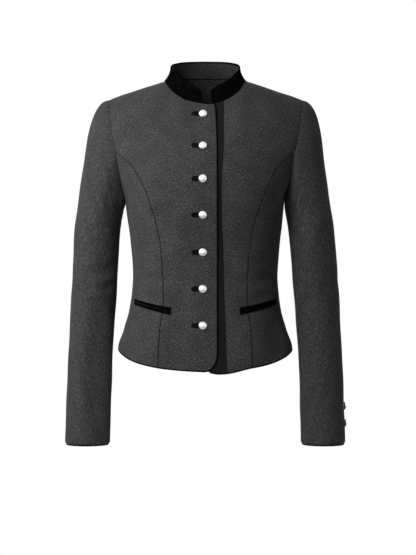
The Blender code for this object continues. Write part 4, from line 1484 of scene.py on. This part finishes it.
def piping_line(edges, inside, closed=False):
    """One smooth line beside some edges in turn, on the side away from a point inside."""
    points = np.concatenate([edge[0] for edge in edges])
    normals = np.concatenate([edge[1] for edge in edges])
    travel = lengths_along(points, 0)
    places = even_steps(0, travel[-1], EDGE_POINT_STEP)
    places = places[:-1] if closed else places
    points, normals = [
        np.stack([np.interp(places, travel, part) for part in rows.T], axis=-1)
        for rows in (points, normals)
    ]
    tangents = np.gradient(points, axis=0)
    ways = np.cross(tangents, normals)
    ways /= np.linalg.norm(ways, axis=1, keepdims=True)
    if np.median(np.sum(ways * (points - inside), axis=1)) < 0:
        ways = -ways
    return points + ways * PIPING_OUT


# %% Hem, front edge and cuffs
BAND_HEM_START = 6.0
INSIDE_FRONT = np.array([80, 0, -250])
INSIDE_CUFF = np.array([195, 0, -500])

band_points, band_normals = edge_of(band, row_first)
shown = band_points[:, 0] > BAND_HEM_START
hem_right = [
    edge_of(front_right_panel, column_first, backwards=True),
    edge_of(front_right_panel, row_first),
    edge_of(side_panels["right"], row_first),
    edge_of(back_panels["right"], row_first, backwards=True),
]
hem_left = [
    (band_points[shown], band_normals[shown]),
    edge_of(front_left_panel, row_first),
    edge_of(side_panels["left"], row_first),
    edge_of(back_panels["left"], row_first, backwards=True),
]
trim_lines = []
for (name, side), hem in zip(SIDES.items(), (hem_right, hem_left)):
    line = piping_line(hem, INSIDE_FRONT * [side, 1, 1])
    trim_lines.append((f"velvet_edge_{name}", f"edge_trim_{name}", line, False))
for name, side in SIDES.items():
    cuff = [edge_of(sleeve_panels[piece, name], row_last) for piece in ("top_sleeve", "under_sleeve")]
    line = piping_line(cuff, INSIDE_CUFF * [side, 1, 1], closed=True)
    trim_lines.append((f"velvet_cuff_edge_{name}", f"cuff_trim_{name}", line, True))
for piece_name, node, line, closed in trim_lines:
    piece = grown(piece_name, line, piping_tree, velvet, closed)
    dress(piece, [node])

# %% [markdown]
# # The buttons
# Each front button is a silver dome on a shank, with a rolled rim and a low boss in its
# middle. It is turned: a profile goes round an axis, which stands square to the front there.
# Screw modifiers or a spun curve do the same, but plain rings of points say where every
# radius is. The small ones at the cuffs are the same button.

# %% Silver
DARK_RIM_FROM = 0.88
DARK_RIM_FADE = 0.03


def make_silver():
    material, tree, shader = new_finish("silver", Metallic=1.0, Roughness=0.3)
    place = add(tree, "ShaderNodeTexCoord").outputs["Object"]
    worn = noise(tree, place, (1, 1), 700, 3)
    bright = colours(tree, worn, (0.3, (0.80, 0.79, 0.77)), (0.6, (0.95, 0.94, 0.92)))
    turned_uv = add(tree, "ShaderNodeUVMap", {"uv_map": "turning"}).outputs["UV"]
    # The outer rim is coloured black and made non-metal, which gives each button a dark ring.
    outwards = add(tree, "ShaderNodeSeparateXYZ", Vector=turned_uv).outputs["X"]
    dark = (DARK_RIM_FROM + DARK_RIM_FADE, (0.01, 0.01, 0.01))
    dark_rim = colours(tree, outwards, (DARK_RIM_FROM, (1, 1, 1)), dark)
    tree.links.new(dark_rim, shader.inputs["Metallic"])
    colour = add(tree, "ShaderNodeMix", {"data_type": "RGBA", "blend_type": "MULTIPLY"})
    colour.inputs["Factor"].default_value = 1.0
    tree.links.new(bright, colour.inputs[6])
    tree.links.new(dark_rim, colour.inputs[7])
    rough = add(tree, "ShaderNodeMapRange", Value=worn, To_Min=0.5, To_Max=0.34)
    tree.links.new(rough.outputs["Result"], shader.inputs["Roughness"])
    paint(tree, shader, colour.outputs[2], worn, 0.12, 0.0002)
    return material


silver = make_silver()

# %% Turn a button
BUTTON_X = -4.0
BUTTON_HEIGHTS = [-61, -119, -178, -241, -306, -370, -434]
BUTTON_RADIUS = 7.7
BUTTON_HEIGHT = 5.4
SHANK_RADIUS = 1.5
SHANK_DEPTH = 1.5
CUFF_BUTTON_RADIUS = 7.2
CUFF_BUTTON_ANGLE = {"right": 114.0, "left": 98.0}
CUFF_BUTTON_HEIGHTS = [-580, -610]
BUTTON_SIDES = 56
BACK_HEIGHT = 0.45
BACK_BOW = 0.05
BACK_REACH = 0.6
RimPoint = namedtuple("RimPoint", "reach height")
BUTTON_RIM = [
    RimPoint(0.90, 0.62),
    RimPoint(0.965, 0.72),
    RimPoint(1.0, 1.0),
    RimPoint(0.985, 1.35),
    RimPoint(0.935, 1.55),
    RimPoint(0.90, 1.62),
]
DOME_REACH = 0.885
BOSS_REACH = 0.26
BOSS_RISE = 0.22
BOSS_SOFTNESS = 0.07
GROOVE_DEPTH = 0.12
GROOVE_REACH = BOSS_REACH + 0.05
GROOVE_HALF = 0.04


def button_profile(radius, stem):
    """(radius, height) pairs from the foot of the shank, round the rim and over the dome."""
    profile = [(0, -stem), (SHANK_RADIUS, -stem), (SHANK_RADIUS, BACK_HEIGHT)]
    profile.append((radius * BACK_REACH, BACK_HEIGHT + BACK_BOW))
    profile += [(radius * point.reach, point.height) for point in BUTTON_RIM]
    low = BUTTON_RIM[-1].height
    for angle in np.radians(np.linspace(30, 88, 15)):
        reach = math.cos(angle) / math.cos(math.radians(30)) * DOME_REACH
        dome = low + (BUTTON_HEIGHT - BOSS_RISE - low) * (math.sin(angle) - 0.5) / 0.5
        boss = BOSS_RISE * float(ease((BOSS_REACH - reach) / BOSS_SOFTNESS))
        groove = GROOVE_DEPTH * math.exp(-(((reach - GROOVE_REACH) / GROOVE_HALF) ** 2))
        profile.append((radius * reach, dome + boss - groove))
    return profile + [(0, BUTTON_HEIGHT)]


def turned(name, profile, origin, axis, material):
    """A turned piece standing on its axis, from (radius, height) pairs."""
    axis = Vector(axis).normalized()
    across = axis.orthogonal().normalized()
    beside = axis.cross(across)
    rounds = np.arange(BUTTON_SIDES) / BUTTON_SIDES
    angles = 2 * math.pi * rounds
    reach = np.outer(np.cos(angles), across) + np.outer(np.sin(angles), beside)
    rings = [np.array(origin) + np.array(axis) * height + reach * radius for radius, height in profile]
    foot, *middle, tip = rings
    points = np.concatenate([foot[:1], *middle, tip[:1]])
    last = 1 + (len(middle) - 1) * BUTTON_SIDES
    faces = []
    for index in range(BUTTON_SIDES):
        after = (index + 1) % BUTTON_SIDES
        faces.append((0, 1 + after, 1 + index))
        faces.append((last + index, last + after, last + BUTTON_SIDES))
        for low in range(1, last, BUTTON_SIDES):
            high = low + BUTTON_SIDES
            faces.append((low + index, low + after, high + after, high + index))
    radii = np.array([radius for radius, height in profile])
    shares = np.repeat(radii[1:-1] / radii.max(), BUTTON_SIDES)
    uv = np.stack([shares, np.tile(rounds, len(middle))], axis=-1)
    return build(name, points, faces, material, np.pad(uv, ((1, 1), (0, 0))), "turning")


# %% Set the buttons on the front and the cuffs
def on_front(x, z):
    """Points of the right front's outer side, and the way out of it there."""
    x, z = np.broadcast_arrays(np.asarray(x, float), np.asarray(z, float))

    def form(dx, dz):
        return on_form(x + dx, z + dz, False)

    points = form(0, 0)
    normals = np.cross(form(0.5, 0) - form(-0.5, 0), form(0, 0.5) - form(0, -0.5))
    normals /= np.linalg.norm(normals, axis=-1, keepdims=True)
    normals = np.where(normals[..., 1:2] > 0, -normals, normals)
    return points - normals * body_creases(points)[..., None], normals


profile = button_profile(BUTTON_RADIUS, SHANK_DEPTH)
for number, height in enumerate(BUTTON_HEIGHTS, 1):
    spot, way = on_front(BUTTON_X, height)
    piece = turned(f"silver_button_{number}", profile, spot, way, silver)
    dress(piece, [f"button_{number}"])
profile = button_profile(CUFF_BUTTON_RADIUS, -SEAM_GAP)
for name, side in SIDES.items():
    angle = CUFF_BUTTON_ANGLE[name]
    way = (side * math.sin(math.radians(angle)), -math.cos(math.radians(angle)), 0.0)
    for number, height in enumerate(CUFF_BUTTON_HEIGHTS, 1):
        spot = sleeve_ring(np.array(angle), np.array(float(height))) * [side, 1, 1]
        piece = turned(f"silver_cuff_button_{number}_{name}", profile, spot, way, silver)
        dress(piece, [f"cuff_button_{number}_{name}"])
print("buttons:", len(BUTTON_HEIGHTS) + 2 * len(CUFF_BUTTON_HEIGHTS))

# %% [markdown]
# # The worked buttonholes
# Each buttonhole is a slit with a round eye under the button, worked all round with black
# silk. The slit is not cut through the front: a slim dark inlay lies in it instead, painted
# shade for the shadowed opening between such dark stitches. The stitches repeat along a path,
# side by side, so Geometry Nodes set one thread after another, each square to the path.

# %% The stitch tree
STITCH_SPACING = 0.62
STITCH_REACH = 2.2
STITCH_THREAD = 0.36


def make_stitch_tree():
    lengths = {
        "Spacing": STITCH_SPACING * MM,
        "Thread": STITCH_THREAD * MM,
        "Reach": STITCH_REACH * MM,
    }
    tree, given, line = path_tree("worked stitches", lengths)
    way_out = add(
        tree, "GeometryNodeInputNamedAttribute", {"data_type": "FLOAT_VECTOR"}, Name="way out"
    )
    tangent = add(tree, "GeometryNodeInputTangent")
    across = add(tree, "ShaderNodeVectorMath", {"operation": "CROSS_PRODUCT"})
    tree.links.new(tangent.outputs["Tangent"], across.inputs[0])
    tree.links.new(way_out.outputs["Attribute"], across.inputs[1])
    turn = add(tree, "FunctionNodeAlignRotationToVector", {"axis": "Z"}, Vector=across.outputs["Vector"])
    thread = add(tree, "GeometryNodeMeshUVSphere", Segments=8, Rings=6, Radius=1.0)
    size = add(tree, "ShaderNodeCombineXYZ", X=given["Thread"], Y=given["Thread"], Z=given["Reach"])
    stitches = add(
        tree,
        "GeometryNodeInstanceOnPoints",
        Points=line,
        Instance=thread.outputs["Mesh"],
        Rotation=turn.outputs["Rotation"],
        Scale=size.outputs["Vector"],
    )
    return close_tree(tree, stitches.outputs["Instances"], given["Finish"])


def make_thread():
    material, tree, shader = new_finish("black silk thread", Roughness=0.6, Specular_IOR_Level=0.05)
    place = add(tree, "ShaderNodeTexCoord").outputs["Object"]
    strands = noise(tree, place, (1, 1), 3000, 1)
    colour = colours(tree, strands, (0.35, (0.0015, 0.0015, 0.0015)), (0.7, (0.004, 0.004, 0.004)))
    paint(tree, shader, colour, strands, 0.2, 0.0001)
    return material


stitch_tree = make_stitch_tree()
thread = make_thread()

# %% Work the buttonholes
BUTTONHOLE_EYE = 2.1
BUTTONHOLE_LENGTH = 17.4
STITCH_OUT = STITCH_REACH + 0.4
STITCH_RISE = 0.2
SLIT_HALF = 1.6
SLIT_RUNS = np.linspace(-1.5, BUTTONHOLE_LENGTH - 0.8, 12)
SLIT_CROWN = np.array([0.05, 0.2, 0.05])[None, :, None]
SLIT_DEPTH = 0.4


def keyhole_outline(off):
    """(run, rise) pairs round a keyhole at a distance from its slit, away from the front edge."""
    eye = BUTTONHOLE_EYE + off
    opening = math.asin(off / eye)
    angles = np.linspace(opening, 2 * math.pi - opening, 40)
    ring = np.stack([eye * np.cos(angles), eye * np.sin(angles)], axis=-1)
    slit = np.linspace(ring[-1, 0], BUTTONHOLE_LENGTH - off * 0.4, 28)[1:]
    low = np.stack([slit, np.full_like(slit, -off)], axis=-1)
    tip = np.radians(np.linspace(-90, 90, 12))[1:-1]
    end = np.stack([slit[-1] + off * 0.9 * np.cos(tip), off * np.sin(tip)], axis=-1)
    return np.concatenate([ring, low, end, low[::-1] * [1, -1]])


outline = keyhole_outline(STITCH_OUT)
slit_shares = 2 * (SLIT_RUNS - SLIT_RUNS[0]) / np.ptp(SLIT_RUNS) - 1
slit_halves = SLIT_HALF * np.sqrt(np.clip(1 - slit_shares**6, 0.02, 1))
slit_rises = np.stack([-slit_halves, slit_halves * 0, slit_halves], axis=-1)
skin = grid_faces(*slit_rises.shape)
slit_shade_faces = np.concatenate([skin, skin[:, ::-1] + slit_rises.size, rim_faces(*slit_rises.shape)])
stitch_points = []
stitch_ways = []
slit_points = []
slit_faces = []
for index, height in enumerate(BUTTON_HEIGHTS):
    points, ways = on_front(BUTTON_X - outline[:, 0], height + outline[:, 1])
    stitch_points.append(points + ways * STITCH_RISE)
    stitch_ways.append(ways)
    points, ways = on_front(BUTTON_X - SLIT_RUNS[:, None], height + slit_rises)
    slit_points += [(points + ways * SLIT_CROWN).reshape(-1, 3), (points - ways * SLIT_DEPTH).reshape(-1, 3)]
    slit_faces.append(slit_shade_faces[:, ::-1] + 2 * slit_rises.size * index)
# Painted shade: a dark inlay lies in each slit, standing in for the shadow of its opening.
slit_shade = build("buttonhole_slit_shade", np.concatenate(slit_points), np.concatenate(slit_faces).tolist(), thread)
stitches = grown(
    "buttonhole_stitches",
    np.concatenate(stitch_points),
    stitch_tree,
    thread,
    normals=np.concatenate(stitch_ways),
    breaks={len(outline) * number for number in range(1, len(BUTTON_HEIGHTS) + 1)},
)
for piece in (slit_shade, stitches):
    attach(piece, "root")
